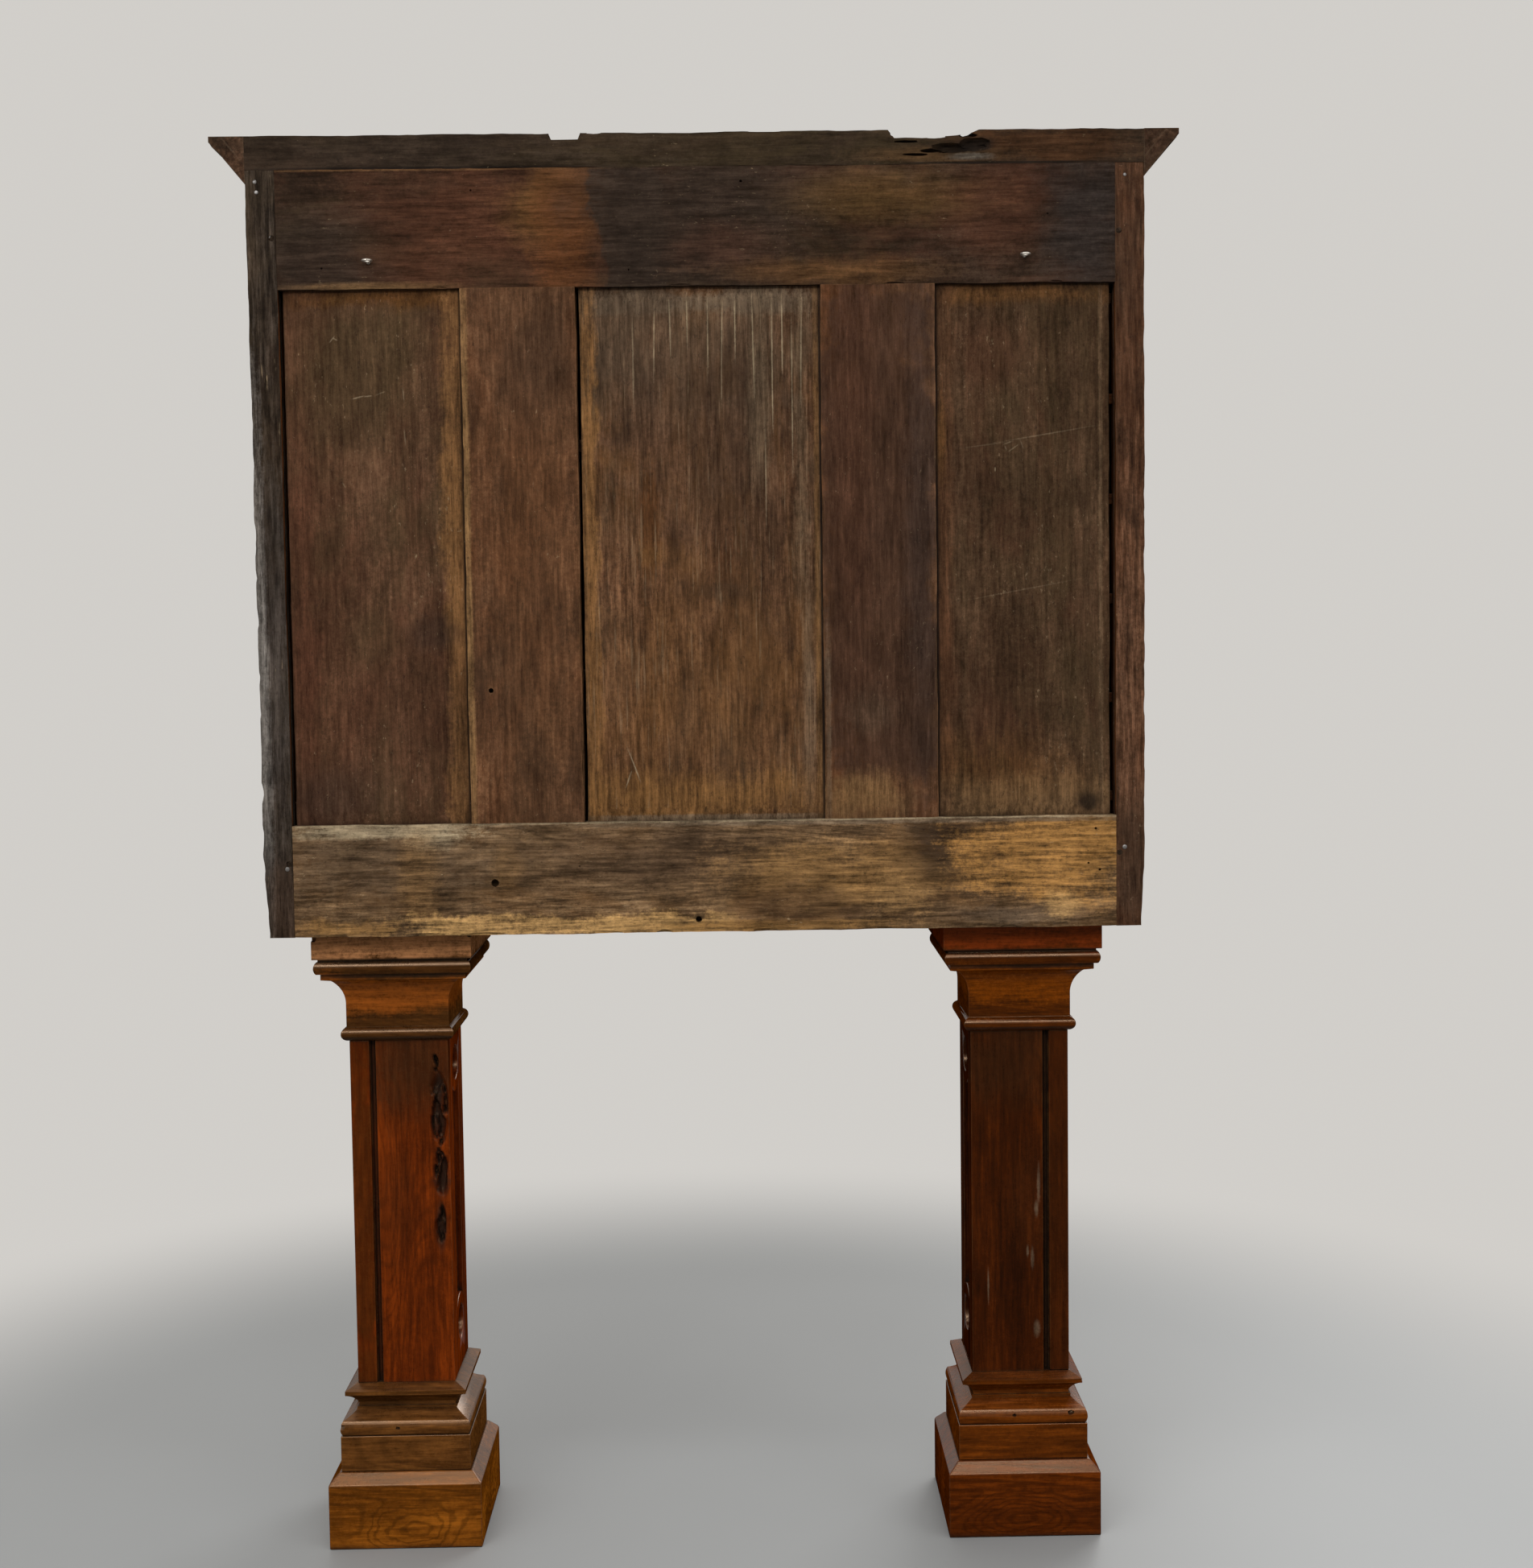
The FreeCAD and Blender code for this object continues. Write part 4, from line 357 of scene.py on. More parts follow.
finishes = {
    "top_rail": wood("top_rail_wood", "X", (0.029, 0.0165, 0.01), shift=0.3, tints=[(RED_BROWN, 0.4), (OLIVE, 0.5)],
                     shares=(0.3, 0.1, 0.34, 0.26), rings=0.08, pores=0.2, torn=(0.7, 1.2), flecks=0.4, stains=[
        (250, 1590, 140, 80, (0.066, 0.026, 0.0135), 0.85, 0.8, 2.5),
        (165, 1612, 50, 40, (0.115, 0.058, 0.018), 0.65), (148, 1572, 36, 66, (0.092, 0.034, 0.012), 0.9, 0.75, 3),
        (76, 1588, 40, 95, BLACKENED, 0.95, 0.12, 8), (0, 1600, 110, 90, BLACKENED, 0.85, 0.6, 3),
        (-35, 1566, 50, 24, RED_BROWN, 0.3), (-235, 1624, 85, 26, (0.098, 0.05, 0.016), 0.5, 0.85, 2),
        (-150, 1535, 100, 14, OCHRE, 0.35), (-350, 1600, 50, 40, RED_BROWN, 0.4),
        (-452, 1583, 40, 85, BLUE_GREY, 0.75, 0.6, 4), (440, 1560, 60, 50, BLACKENED, 0.85, 0.6, 3),
        (320, 1657, 168, 1.1, (0.13, 0.066, 0.028), 0.6, 0.7, 6), (375, 1523.5, 75, 4, (0.17, 0.095, 0.04), 0.6)]),
    "bottom_rail": wood("bottom_rail_wood", "X", (0.15, 0.088, 0.043), shift=4.1, depth=0.62, rings=0.5,
                        torn=(2.6, 2.6), mottling=0.65, knots=[(-179.5, 780.5, 20, 10, 0.13)],
                        tints=[(UMBER, 0.45), (OCHRE, 0.45)], flecks=0.9, fleck_grain=(80, 260), stains=[
        (369, 848, 120, 34, (0.1, 0.064, 0.037), 0.75, 0.6, 3),
        (378, 887, 95, 7.5, PALE_DUST, 0.9, 0.5, 6), (315, 876, 28, 11, PALE_DUST, 0.6),
        (340, 835, 22, 50, PALE_OCHRE, 0.35, 0.75, 2), (236, 838, 14, 26, PALE_OCHRE, 0.3, 0.75, 2),
        (180, 771.5, 190, 12, STRAW, 1, 0.45, 6), (420, 771, 60, 10, PALE_OCHRE, 0.7, 0.6, 3),
        (-80, 768, 130, 6, PALE_OCHRE, 0.8, 0.5, 4), (60, 850, 120, 34, (0.07, 0.042, 0.025), 0.55, 0.7, 3),
        (-168, 825, 125, 34, (0.25, 0.135, 0.048), 0.72, 0.7, 2.5),
        (-95, 792, 60, 22, UMBER, 0.6, 0.6, 2), (-178, 783, 16, 8, UMBER, 0.6, 0.6, 2),
        (-230, 798, 30, 20, (0.3, 0.17, 0.065), 0.45, 0.7, 2), (-293, 860, 42, 34, BLACKENED, 0.85, 0.6, 2.5),
        (-402, 848, 92, 48, (0.31, 0.155, 0.046), 0.92, 0.4, 5),
        (-365, 778, 64, 10, (0.1, 0.068, 0.044), 0.7, 0.7, 2),
        (-423, 790, 16, 12, STRAW, 0.6, 0.7, 2), (-160, 891.5, 330, 3.5, DUST, 0.85, 0.5, 6),
        (0, 893.6, 480, 1.2, PALE_DUST, 0.7, 0.6, 6)]),
    "muntins": wood("muntin_wood", "Z", (0.104, 0.048, 0.0225), shift=1.7, tints=[(UMBER, 0.6), (RUST, 0.25)],
                    shares=(0.3, 0.16, 0.28, 0.26), rings=0.15, flecks=0.4, wear=0.45,
                    worn_tone=(0.17, 0.092, 0.04), stains=[
        (200, 1200, 40, 330, (0.108, 0.052, 0.024), 0.4, 0.8, 4),
        # The first stain here, a pale strip along the edge, is partly wear and partly a painted highlight where the
        # edge catches light.
        (274.5, 1200, 4, 330, (0.22, 0.122, 0.05), 0.8, 0.6, 8), (190, 1440, 50, 80, UMBER, 0.6),
        (200, 1270, 40, 90, (0.1, 0.04, 0.016), 0.35), (-211, 1206, 70, 330, (0.048, 0.024, 0.0145), 0.9, 0.2, 8),
        (-262, 1250, 16, 270, BLUE_GREY, 0.4, 0.8, 3), (-180, 1300, 20, 200, RED_BROWN, 0.25, 0.8, 3),
        (-186, 920, 50, 24, (0.21, 0.115, 0.045), 0.6, 0.75, 3),
        (-147.5, 1000, 3, 110, DUST, 0.4, 0.6, 6), (-201, 1020, 28, 20, DUST, 0.16)]),
    "right_panel": wood("right_back_panel_wood", "Z", (0.072, 0.035, 0.018), shift=2.4,
                        shares=(0.3, 0.14, 0.3, 0.26), rings=0.15, wear=0.3, worn_tone=(0.13, 0.068, 0.03),
                        tints=[(RED_BROWN, 0.4), (OLIVE, 0.5)], flecks=0.5, scratches=[
        (427.8, 1463.5, 4, -50, 0.45), (424, 1464, 3, 30, 0.4), (399, 1396.4, 6, -14, 0.55),
        (387, 1397.8, 4, -6, 0.55), (372.5, 1401, 5, -20, 0.25), (345.9, 1399, 6, 85, 0.3),
        (345.3, 1350, 8, 86, 0.3), (418, 1295, 3, 60, 0.25)], stains=[
        (385, 1512, 112, 13, (0.072, 0.028, 0.0075), 0.9, 0.6, 6),
        # A pale strip along the edge, partly wear and partly a painted highlight where the bevel catches light.
        (287, 1200, 13, 330, (0.155, 0.075, 0.028), 0.95, 0.6, 8),
        (470, 1200, 14, 330, RED_BROWN, 0.6, 0.8, 6), (400, 1430, 80, 90, OLIVE, 0.65),
        (318, 1117, 22, 18, BLACKENED, 0.65, 0.7, 2), (387, 1108, 24, 30, OLIVE, 0.65, 0.7, 2),
        (439, 930, 50, 34, BLACKENED, 0.55), (380, 1040, 90, 70, RED_BROWN, 0.35),
        (278.5, 1205, 1.6, 330, SOOT_AND_SHADE, 0.8, 0.5, 8)]),
    "centre_panel": wood("centre_back_panel_wood", "Z", (0.087, 0.041, 0.02), shift=0.9, depth=0.66,
                         shares=(0.2, 0.38, 0.14, 0.28), tints=[(UMBER, 0.6), (OCHRE, 0.45), (SILVER, 0.3)],
                         torn=(2.4, 1.8), flecks=0.26, fleck_grain=(9, 330), fleck_start=0.58, wear=0.3,
                         worn_tone=(0.15, 0.08, 0.035), scratches=[
        (76.8, 1440, 40, 90, 0.5), (52, 1455, 34, 91, 0.6), (33, 1470, 30, 89, 0.7),
        (13, 1480, 24, 90, 0.75), (-11, 1462, 36, 90, 0.8), (-27, 1440, 44, 91, 0.7),
        (-43, 1470, 28, 90, 0.75), (-64, 1450, 46, 89, 0.8), (-86, 1425, 60, 90, 0.75),
        (-98, 1460, 36, 90, 0.8), (-109, 1400, 70, 90, 0.7), (-120, 1440, 50, 91, 0.65),
        (-77, 1300, 50, 90, 0.45), (83, 960, 16, 70, 0.8), (90, 945, 10, 110, 0.75)],
                         stains=[
        (5, 1503, 134, 14, (0.11, 0.078, 0.05), 0.9, 0.5, 6),
        (6, 1450, 130, 60, (0.105, 0.075, 0.048), 0.5, 0.8, 3), (10, 1370, 110, 110, UMBER, 0.55),
        # A pale strip along the edge, partly wear and partly a painted highlight where the bevel catches light.
        (131, 1190, 9, 330, (0.185, 0.09, 0.032), 0.9, 0.6, 6),
        (61, 1247, 8, 50, (0.085, 0.034, 0.012), 0.8, 0.5, 5),
        (61, 1207, 14, 10, (0.11, 0.052, 0.018), 0.7, 0.7, 2),
        (-30, 1200, 16, 36, (0.1, 0.036, 0.014), 0.4), (-27, 1165, 24, 10, BLACKENED, 0.8, 0.7, 2),
        (-60, 1240, 50, 160, UMBER, 0.5), (0, 1040, 130, 110, (0.125, 0.058, 0.022), 0.5, 0.8, 3),
        (-2, 920, 132, 26, (0.175, 0.085, 0.028), 0.8, 0.7, 4), (-2, 897, 134, 4, DUST, 0.85, 0.45, 6),
        # A pale strip along the edge, partly wear and partly a painted highlight where the bevel catches light.
        (-137.5, 1205, 3, 310, (0.17, 0.088, 0.034), 0.75, 0.7, 8),
        (-142.5, 1205, 2, 330, SOOT_AND_SHADE, 0.9, 0.5, 8), (-70, 1400, 10, 100, SILVER, 0.45, 0.8, 3),
        (-118, 1330, 8, 150, SILVER, 0.45, 0.8, 3), (-125, 1060, 6, 100, DUST, 0.45, 0.8, 3)]),
    "left_panel": wood("left_back_panel_wood", "Z", (0.048, 0.0255, 0.013), shift=6.6,
                       shares=(0.3, 0.14, 0.28, 0.28), rings=0.15, wear=0.3, worn_tone=(0.11, 0.06, 0.028),
                       tints=[(RED_BROWN, 0.35), (OLIVE, 0.5)], flecks=0.4, scratches=[
        (-408, 1345, 48, -9, 0.2), (-336, 1333, 26, -7, 0.12), (-374, 1162, 55, -10, 0.12),
        (-362, 1335, 5, -20, 0.28), (-369, 1329, 6, -35, 0.28), (-360, 1329, 3, 70, 0.25),
        (-379, 1333, 4, 70, 0.22), (-347.3, 1304.4, 2, 90, 0.6)], stains=[
        (-385, 1511, 104, 11, (0.08, 0.036, 0.012), 0.8, 0.7, 6),
        (-286, 1180, 10, 330, (0.078, 0.034, 0.016), 0.75, 0.8, 8), (-340, 1440, 35, 35, RED_BROWN, 0.4),
        (-379, 915, 100, 24, (0.15, 0.088, 0.042), 0.75, 0.8, 4), (-360, 950, 80, 40, OCHRE, 0.3),
        (-455, 911, 12, 10, SOOT_AND_SHADE, 0.8, 0.6, 2), (-472.5, 1205, 2.2, 310, (0.12, 0.074, 0.04), 0.6, 0.6, 8),
        (-278.5, 1205, 1.6, 330, SOOT_AND_SHADE, 0.8, 0.5, 8), (-284, 1340, 5, 40, OCHRE, 0.5)]),
    "cornice_rail": wood("cornice_rail_wood", "X", (0.029, 0.019, 0.0115), shift=3.3, depth=0.55,
                         shares=(0.3, 0.14, 0.3, 0.26), rings=0.12, pores=0.2, tints=[(OLIVE, 0.5), (UMBER, 0.5)],
                         flecks=0.4, stains=[
        (350, 1677, 200, 30, BLACKENED, 0.55, 0.8, 4), (-400, 1680, 105, 20, (0.05, 0.022, 0.0095), 0.85, 0.6, 4),
        (-275, 1669, 75, 7, (0.062, 0.034, 0.015), 0.85, 0.7, 3),
        (-326, 1679.5, 19, 7.5, SOOT_AND_SHADE, 0.9, 0.4, 3), (-300, 1676.5, 22, 4.5, SOOT_AND_SHADE, 0.8, 0.5, 3),
        (-320, 1666.8, 22, 3.6, (0.105, 0.09, 0.072), 0.75, 0.6, 3),
        (320, 1659.2, 170, 1.3, SOOT_AND_SHADE, 0.9, 0.5, 6), (-370, 1659.2, 120, 1.3, SOOT_AND_SHADE, 0.9, 0.5, 6)]),
    "right_side": wood("right_side_wood", "Z", (0.026, 0.018, 0.0125), shift=5.2, depth=0.72, bump=0.9,
                       shares=(0.16, 0.5, 0.14, 0.2), torn=(3.2, 2), mottling=0.55,
                       tints=[(SILVER, 0.25), (UMBER, 0.4)], flecks=0.8, fleck_grain=(20, 300), stains=[
        (506, 1040, 20, 190, (0.056, 0.045, 0.038), 0.75, 0.8, 3),
        (519, 1050, 6, 260, (0.2, 0.18, 0.16), 0.65, 0.8, 3), (506, 800, 20, 50, UMBER, 0.7, 0.8, 3)]),
    "left_side": wood("left_side_wood", "Z", (0.072, 0.033, 0.017), shift=7.1, depth=0.7, bump=0.6,
                      shares=(0.22, 0.34, 0.2, 0.24), tints=[(UMBER, 0.7), (RUST, 0.3)], flecks=0.4,
                      wear=0.4, worn_tone=(0.12, 0.07, 0.038), stains=[
        (-506, 830, 20, 70, UMBER, 0.8, 0.8, 3), (-506, 1500, 20, 120, UMBER, 0.4, 0.8, 3)]),
    "iron": metal("iron_fittings", (0.2, 0.19, 0.18), (0.03, 0.022, 0.018), (0.38, 0.75)),
    "bright_iron": metal("screw_eye_iron", (0.62, 0.58, 0.52), (0.3, 0.26, 0.21), (0.35, 0.6)),
    "brass": metal("aged_brass", (0.62, 0.44, 0.17), (0.16, 0.1, 0.035), (0.28, 0.6)),
    "end_grain": wood("peg_end_grain", "Y", (0.03, 0.019, 0.012), rings=0.5, hollow_shade=0.2),
}
POLISH = dict(rough=(0.2, 0.36), shine=0.1, rubbed=0.95, tinge=(1, 0.66, 0.42), pits=0.12, bump=0.08,
              grime=0.35, hollow_shade=0.95, wear=0.35, mottling=0.2, pores=0.25, shares=(0.34, 0.3, 0.22, 0.14))
# In each pillar's tones, the abacus and cove colours are painted light for the bands of the capital.
PILLAR_WOOD = {
    "left": dict(
        shaft=(0.042, 0.0076, 0.0006), edge=(0.034, 0.0072, 0.0008), block=(0.098, 0.0215, 0.0012),
        plinth=(0.086, 0.0162, 0.0008), abacus=(0.155, 0.024, 0.003), cove=(0.175, 0.04, 0.0014), smoke=0.5,
        scuffs=((-404, 433, 1.8, 18), (-401, 402, 2.2, 8), (-396, 340, 1.8, 12), (-390, 348, 1.4, 6),
                (-401, 251, 3.5, 9), (-341, 305, 1, 16)), holes=()),
    "right": dict(
        shaft=(0.106, 0.016, 0.001), edge=(0.056, 0.014, 0.0016), block=(0.086, 0.03, 0.0058),
        plinth=(0.145, 0.042, 0.0032), abacus=(0.4, 0.178, 0.072), cove=(0.26, 0.066, 0.0072), smoke=0.8,
        scuffs=(), holes=((333.5, 560, 6, 20), (334.5, 523, 7.5, 18), (332.5, 458, 8, 26), (334, 392, 6, 26)))}
for side, tone in PILLAR_WOOD.items():
    own = len(side) * 1.7
    sign = -1 if side == "left" else 1
    made = {
        "shaft": wood(side + "_shaft_walnut", "Z", tone["shaft"], shift=own + 1, rings=0.35, stains=[
            (sign * 429, 411, 12.5, 220, tone["edge"], 0.75, 0.3, 8)], **POLISH),
        "back_board": wood(side + "_back_board_walnut", "Z", tone["shaft"], shift=own, rings=0.35, stains=[
            (sign * 372, 600, 60, 60, (0.03, 0.012, 0.004), tone["smoke"]),
            (sign * 390, 420, 20, 60, (0.05, 0.013, 0.003), 0.35),
            *((*spot, SOOT_AND_SHADE, 0.85, 0.5, 2) for spot in tone["holes"]),
            *((*spot, DUST, 0.55, 0.7, 2) for spot in tone["scuffs"])], **{**POLISH, "rubbed": 0}),
        "capital": wood(side + "_capital_walnut", "X", tuple(c * 0.85 for c in tone["block"]), shift=own + 2,
                        rings=0.35, stains=[
            # Painted light: the abacus band is lightened against the shade that the case casts on it, and the cove
            # band is a painted highlight. The thin dark bands in the quirks under the beads are painted shade.
            (sign * 381, 748, 110, 16, tone["abacus"], 0.8, 0.3, 8),
            (sign * 381, 684, 110, 20, tone["cove"], 0.85, 0.5, 6),
            *((sign * 381, z, 110, 2.2, SOOT_AND_SHADE, 0.7, 0.7, 8) for z in (729, 708.5, 628.5))], **POLISH),
        "blocks": wood(side + "_block_walnut", "X", tone["block"], shift=own + 3, rings=0.35, **POLISH),
        "plinth": wood(side + "_plinth_walnut", "X", tone["plinth"], shift=own + 5, rings=0.55, ring_scale=30,
                       knots=[(sign * 371, 26, 45, 22, 0.16)], **POLISH)}
    finishes.update({f"{side}_{part}": finish for part, finish in made.items()})
FRONT_WALNUT = (0.115, 0.036, 0.011)
FIGURED_WALNUT = (0.13, 0.042, 0.012)
finishes.update({
    "cornice": wood("cornice_walnut", "X", FRONT_WALNUT, shift=2.5, **POLISH),
    "cornice_return": wood("cornice_return_walnut", "Y", (0.04, 0.02, 0.011), shift=4.4, depth=0.6, flecks=0.4,
                           tints=[(UMBER, 0.7), (DUST, 0.2)], rough=(0.45, 0.7), wear=0.4, worn_tone=DUST),
    "upright": wood("upright_walnut", "Z", FRONT_WALNUT, shift=3.2, **POLISH),
    "case_side": wood("case_side_walnut", "Z", (0.072, 0.024, 0.008), shift=3.9, tints=[(UMBER, 0.5)],
                      **{**POLISH, "rough": (0.35, 0.55)}),
    "inside": wood("inside_walnut", "X", (0.13, 0.068, 0.032), shift=2.2, rings=0.25),
    "panel": wood("figured_walnut", "Z", FIGURED_WALNUT, shift=8, depth=0.6, rings=0.7, ring_scale=60, **POLISH),
    "drawer_front": wood("drawer_front_walnut", "X", FIGURED_WALNUT, shift=5, rings=0.55, ring_scale=50, **POLISH),
    "knob": wood("knob_walnut", "Y", (0.04, 0.012, 0.004), shift=1, rings=0.3, **POLISH),
    "lining": wood("drawer_lining_wood", "Y", (0.21, 0.12, 0.06), shift=6, rings=0.35),
    "tray": wood("coin_tray_wood", "X", (0.15, 0.07, 0.032), shift=9, rings=0.35, rough=(0.5, 0.7))})


# Pieces

def joined(node):
    """A CAD node's copy as a bmesh, with its triangles joined."""
    shape = bmesh.new()
    shape.from_mesh(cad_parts[node].data)
    bmesh.ops.remove_doubles(shape, verts=shape.verts, dist=MERGE)
    return shape


def merged(node):
    """The same, with the diagonals of its flat faces cleared."""
    shape = joined(node)
    bmesh.ops.dissolve_limit(shape, angle_limit=FLAT_ANGLE, verts=shape.verts, edges=shape.edges)
    bmesh.ops.connect_verts_concave(shape, faces=shape.faces)
    return shape


def everything(shape):
    return [*shape.verts, *shape.edges, *shape.faces]


def soften(shape, width):
    """Rounds a shape's arrises."""
    arrises = [edge for edge in shape.edges if edge.is_manifold and edge.calc_face_angle(0) > SMOOTH_ANGLE]
    bmesh.ops.bevel(shape, geom=arrises, offset=width, offset_type="OFFSET", segments=2, profile=0.5,
                    affect="EDGES", material=-1, clamp_overlap=True)


def score(shape, axis, low, high, pitch):
    """Cuts a shape across an axis at even steps, so that its surface can wander."""
    count = max(1, round((high - low) / pitch))
    for n in range(1, count):
        at = low + (high - low) * n / count
        bmesh.ops.bisect_plane(shape, geom=everything(shape), dist=MERGE, plane_co=AXES[axis] * at,
                               plane_no=AXES[axis])


def wander(shape, amount, period, seed, keep=()):
    """Moves each vertex a little by a smooth noise, and leaves the named axes as they are."""
    for vert in shape.verts:
        drift = noise.noise_vector(vert.co / period + X * seed) * amount
        for axis in keep:
            drift["XYZ".index(axis)] = 0
        vert.co += drift


def fade(value, start, end):
    """From 0 at the start to 1 at the end, smoothly."""
    share = min(1.0, max(0.0, (value - start) / (end - start)))
    return share * share * (3 - 2 * share)


KNOBBLE, KNOBBLE_GRAIN = 0.35, 1.8


def lump(shape, middle, reach, seed):
    """Adds a knobbly ball, for what breaks or bores out of the wood."""
    ball = bmesh.ops.create_icosphere(shape, subdivisions=2, radius=1.0)["verts"]
    for vert in ball:
        vert.co *= 1 + KNOBBLE * noise.noise(vert.co * KNOBBLE_GRAIN + X * seed)
        vert.co = Vector(middle) + Vector(a * b for a, b in zip(vert.co, reach))


def turned(place, turn=QUARTER_TURN):
    """A matrix that puts what is made upright at a place, tipped about x."""
    return Matrix.Translation(place) @ Matrix.Rotation(turn, 4, "X")


TAPER = 0.8
PROUD = 0.001


def bore(shape, x, z, radius, depth=0.010):
    """Adds a rod that sinks into the back, for a nail or peg hole."""
    bmesh.ops.create_cone(shape, cap_ends=True, segments=12, radius1=radius, radius2=radius * TAPER,
                          depth=depth + 2 * PROUD, matrix=turned((x, back_y - depth / 2 + PROUD, z)))


def placed(name, data):
    """A new object in the scene."""
    made = bpy.data.objects.new(name, data)
    bpy.context.scene.collection.objects.link(made)
    return made


def built(name, shape):
    """A new object in the scene, with a shape's mesh. The shape is freed."""
    mesh = bpy.data.meshes.new(name)
    shape.to_mesh(mesh)
    shape.free()
    return placed(name, mesh)


def carved(shape, cutters):
    """Takes the cutters out of the shape, and frees both."""
    blank, tool = built("blank", shape), built("cutters", cutters)
    cut = blank.modifiers.new("cut", "BOOLEAN")
    cut.operation, cut.solver, cut.use_self, cut.object = "DIFFERENCE", "EXACT", True, tool
    bpy.context.view_layer.update()
    result = bpy.data.meshes.new_from_object(blank.evaluated_get(bpy.context.evaluated_depsgraph_get()))
    made = bmesh.new()
    made.from_mesh(result)
    meshes = (blank.data, tool.data, result)
    for holder in (blank, tool):
        bpy.data.objects.remove(holder)
    for mesh in meshes:
        bpy.data.meshes.remove(mesh)
    return made


def finish_piece(name, shape, nodes, finish, body=CABINET, bevel=0.0):
    """Makes the object, puts it on its body and in place of its nodes, and softens its arrises."""
    piece = built(name, shape)
    piece.data.shade_smooth()
    piece.data.set_sharp_from_angle(angle=SMOOTH_ANGLE)
    for each in finish if isinstance(finish, (list, tuple)) else [finish]:
        piece.data.materials.append(finishes[each])
    if bevel:
        arris = piece.modifiers.new("arris", "BEVEL")
        arris.width, arris.segments, arris.harden_normals = bevel, 2, True
        arris.limit_method, arris.angle_limit = "ANGLE", SMOOTH_ANGLE
    else:
        piece.modifiers.new("shading", "WEIGHTED_NORMAL").keep_sharp = True
    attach(piece, body)
    if nodes:
        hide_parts(*nodes)


def dressed(node, finish, slot, body=CABINET, bevel=0.0008):
    """A CAD node's copy with softened arrises."""
    finish_piece(node + "_dressed", merged(node), [node], finish, body, bevel)


def planed(node, along, pitch=0.010, sway=(0.0009, 0.070), ripple=(0.0005, 0.014), seed=1):
    """A hand-planed board's shape: its arrises sway and ripple."""
    shape = merged(node)
    low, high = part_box(node)
    axis = "XYZ".index(along)
    score(shape, along, low[axis], high[axis], pitch)
    for number, (amount, period) in enumerate((sway, ripple)):
        wander(shape, amount, period, seed + number, keep=(along,))
    return shape


# The back

def board(node, shape, finish, bevel=0.0015):
    """A piece of its own shape in place of a CAD node."""
    finish_piece(node + "_dressed", shape, [node], finish, bevel=bevel)


def shrunk(node, low_gap, high_gap, seed):
    """A back panel, drawn in from its grooves where the wood has shrunk across the grain."""
    shape = planed(node, "Z", seed=seed)
    left, right = (corner.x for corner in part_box(node))
    for vert in shape.verts:
        share = (vert.co.x - left) / (right - left)
        vert.co.x += low_gap * (1 - share) - high_gap * share
    return shape


BREAK_DEPTH, BREAK_REACH, BREAK_SEED = 0.010, 0.050, 61.0


def worked(node, along, seed, holes, hollows, first, breaks=(), **planing):
    """A planed board with nail and peg holes, worn hollows and pieces broken away.

    Lengths are in millimetres. A hole is its x, z and radius, and its depth where that isn't 10, a hollow its
    middle's x and z and its reach in x, y and z, and a break its middle's x and z and its reach in x and z.
    """
    cutters = bmesh.new()
    for hole in holes:
        bore(cutters, *metres(*hole))
    for number, hollow in enumerate(hollows):
        x, z, *reach = metres(*hollow)
        lump(cutters, (x, back_y, z), reach, number + first)
    for number, hollow in enumerate(breaks):
        x, z, reach_x, reach_z = metres(*hollow)
        lump(cutters, (x, back_y - BREAK_DEPTH, z), (reach_x, BREAK_REACH, reach_z), number + BREAK_SEED)
    return carved(planed(node, along, seed=seed, **planing), cutters)


def top_rail():
    return worked("back_top_rail", "X", 11, first=3.0, holes=(
        (437, 1545, 1.2, 6), (262, 1633, 1.2, 6), (-52, 1640.5, 1.6, 6), (-410, 1600, 1.2, 6), (80, 1540, 1, 6)),
        hollows=[(x, 1521.2, reach, 2.2, 2.2) for x, reach in ((300, 10), (20, 14), (-230, 12), (-420, 8))])


def bottom_rail():
    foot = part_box("back_bottom_rail")[0].z * 1000
    return worked("back_bottom_rail", "X", 23, first=9.0, holes=(
        (250.6, 823.5, 4.8), (9.5, 776.6, 4), (-469.2, 829.3, 1.6), (-464.5, 878.5, 1.6), (-455.7, 837.2, 1.4),
        (150, 842, 1)), hollows=[(x, foot, reach, 3, 3.4) for x, reach in (
            (440, 14), (330, 20), (262, 30), (120, 22), (50, 10), (-70, 16), (-205, 24), (-360, 12))])


def muntins():
    return worked("back_muntins", "Z", 37, first=17.0, holes=((250.5, 1051.8, 3),), hollows=[
        (x, z, 2, 2.8, reach) for x, z, reach in (
            (143, 1100, 30), (143, 960, 22), (-143, 1250, 26), (-143, 940, 30), (277, 1320, 20), (-277, 1060, 24))])


def broken_cornice_rail():
    """The cornice's back rail, whose top edge is splintered where a piece has broken off."""
    return worked("cornice_back_rail", "X", 53, holes=(), first=31.0, hollows=[
        (x, z, reach_x, 9, reach_z) for x, z, reach_x, reach_z in (
            (-235, 1692.5, 10, 3), (-252, 1690.5, 12, 2.4), (-278, 1690, 14, 3), (-318, 1690.5, 12, 2.6),
            (-324.5, 1679.5, 20, 8.5), (-300, 1676.5, 24, 5.5), (-276, 1673.5, 16, 2.6), (-256, 1669, 16, 1.6),
            (-244, 1684, 14, 1.6), (118, 1697.5, 9, 1.6), (180, 1697.5, 14, 1.2), (405, 1697.5, 30, 1.2),
            (-80, 1697.5, 20, 1), (-430, 1697.5, 20, 1))],
        breaks=((-297, 1697, 16, 6.2), (-312, 1697.2, 12, 6), (-285, 1696.5, 12, 5)),
        sway=(0.0010, 0.060), ripple=(0.0007, 0.016))


WORN_DEPTH, WORN_WIDTH, FOOT_WEAR = 0.060, 0.030, 0.0042


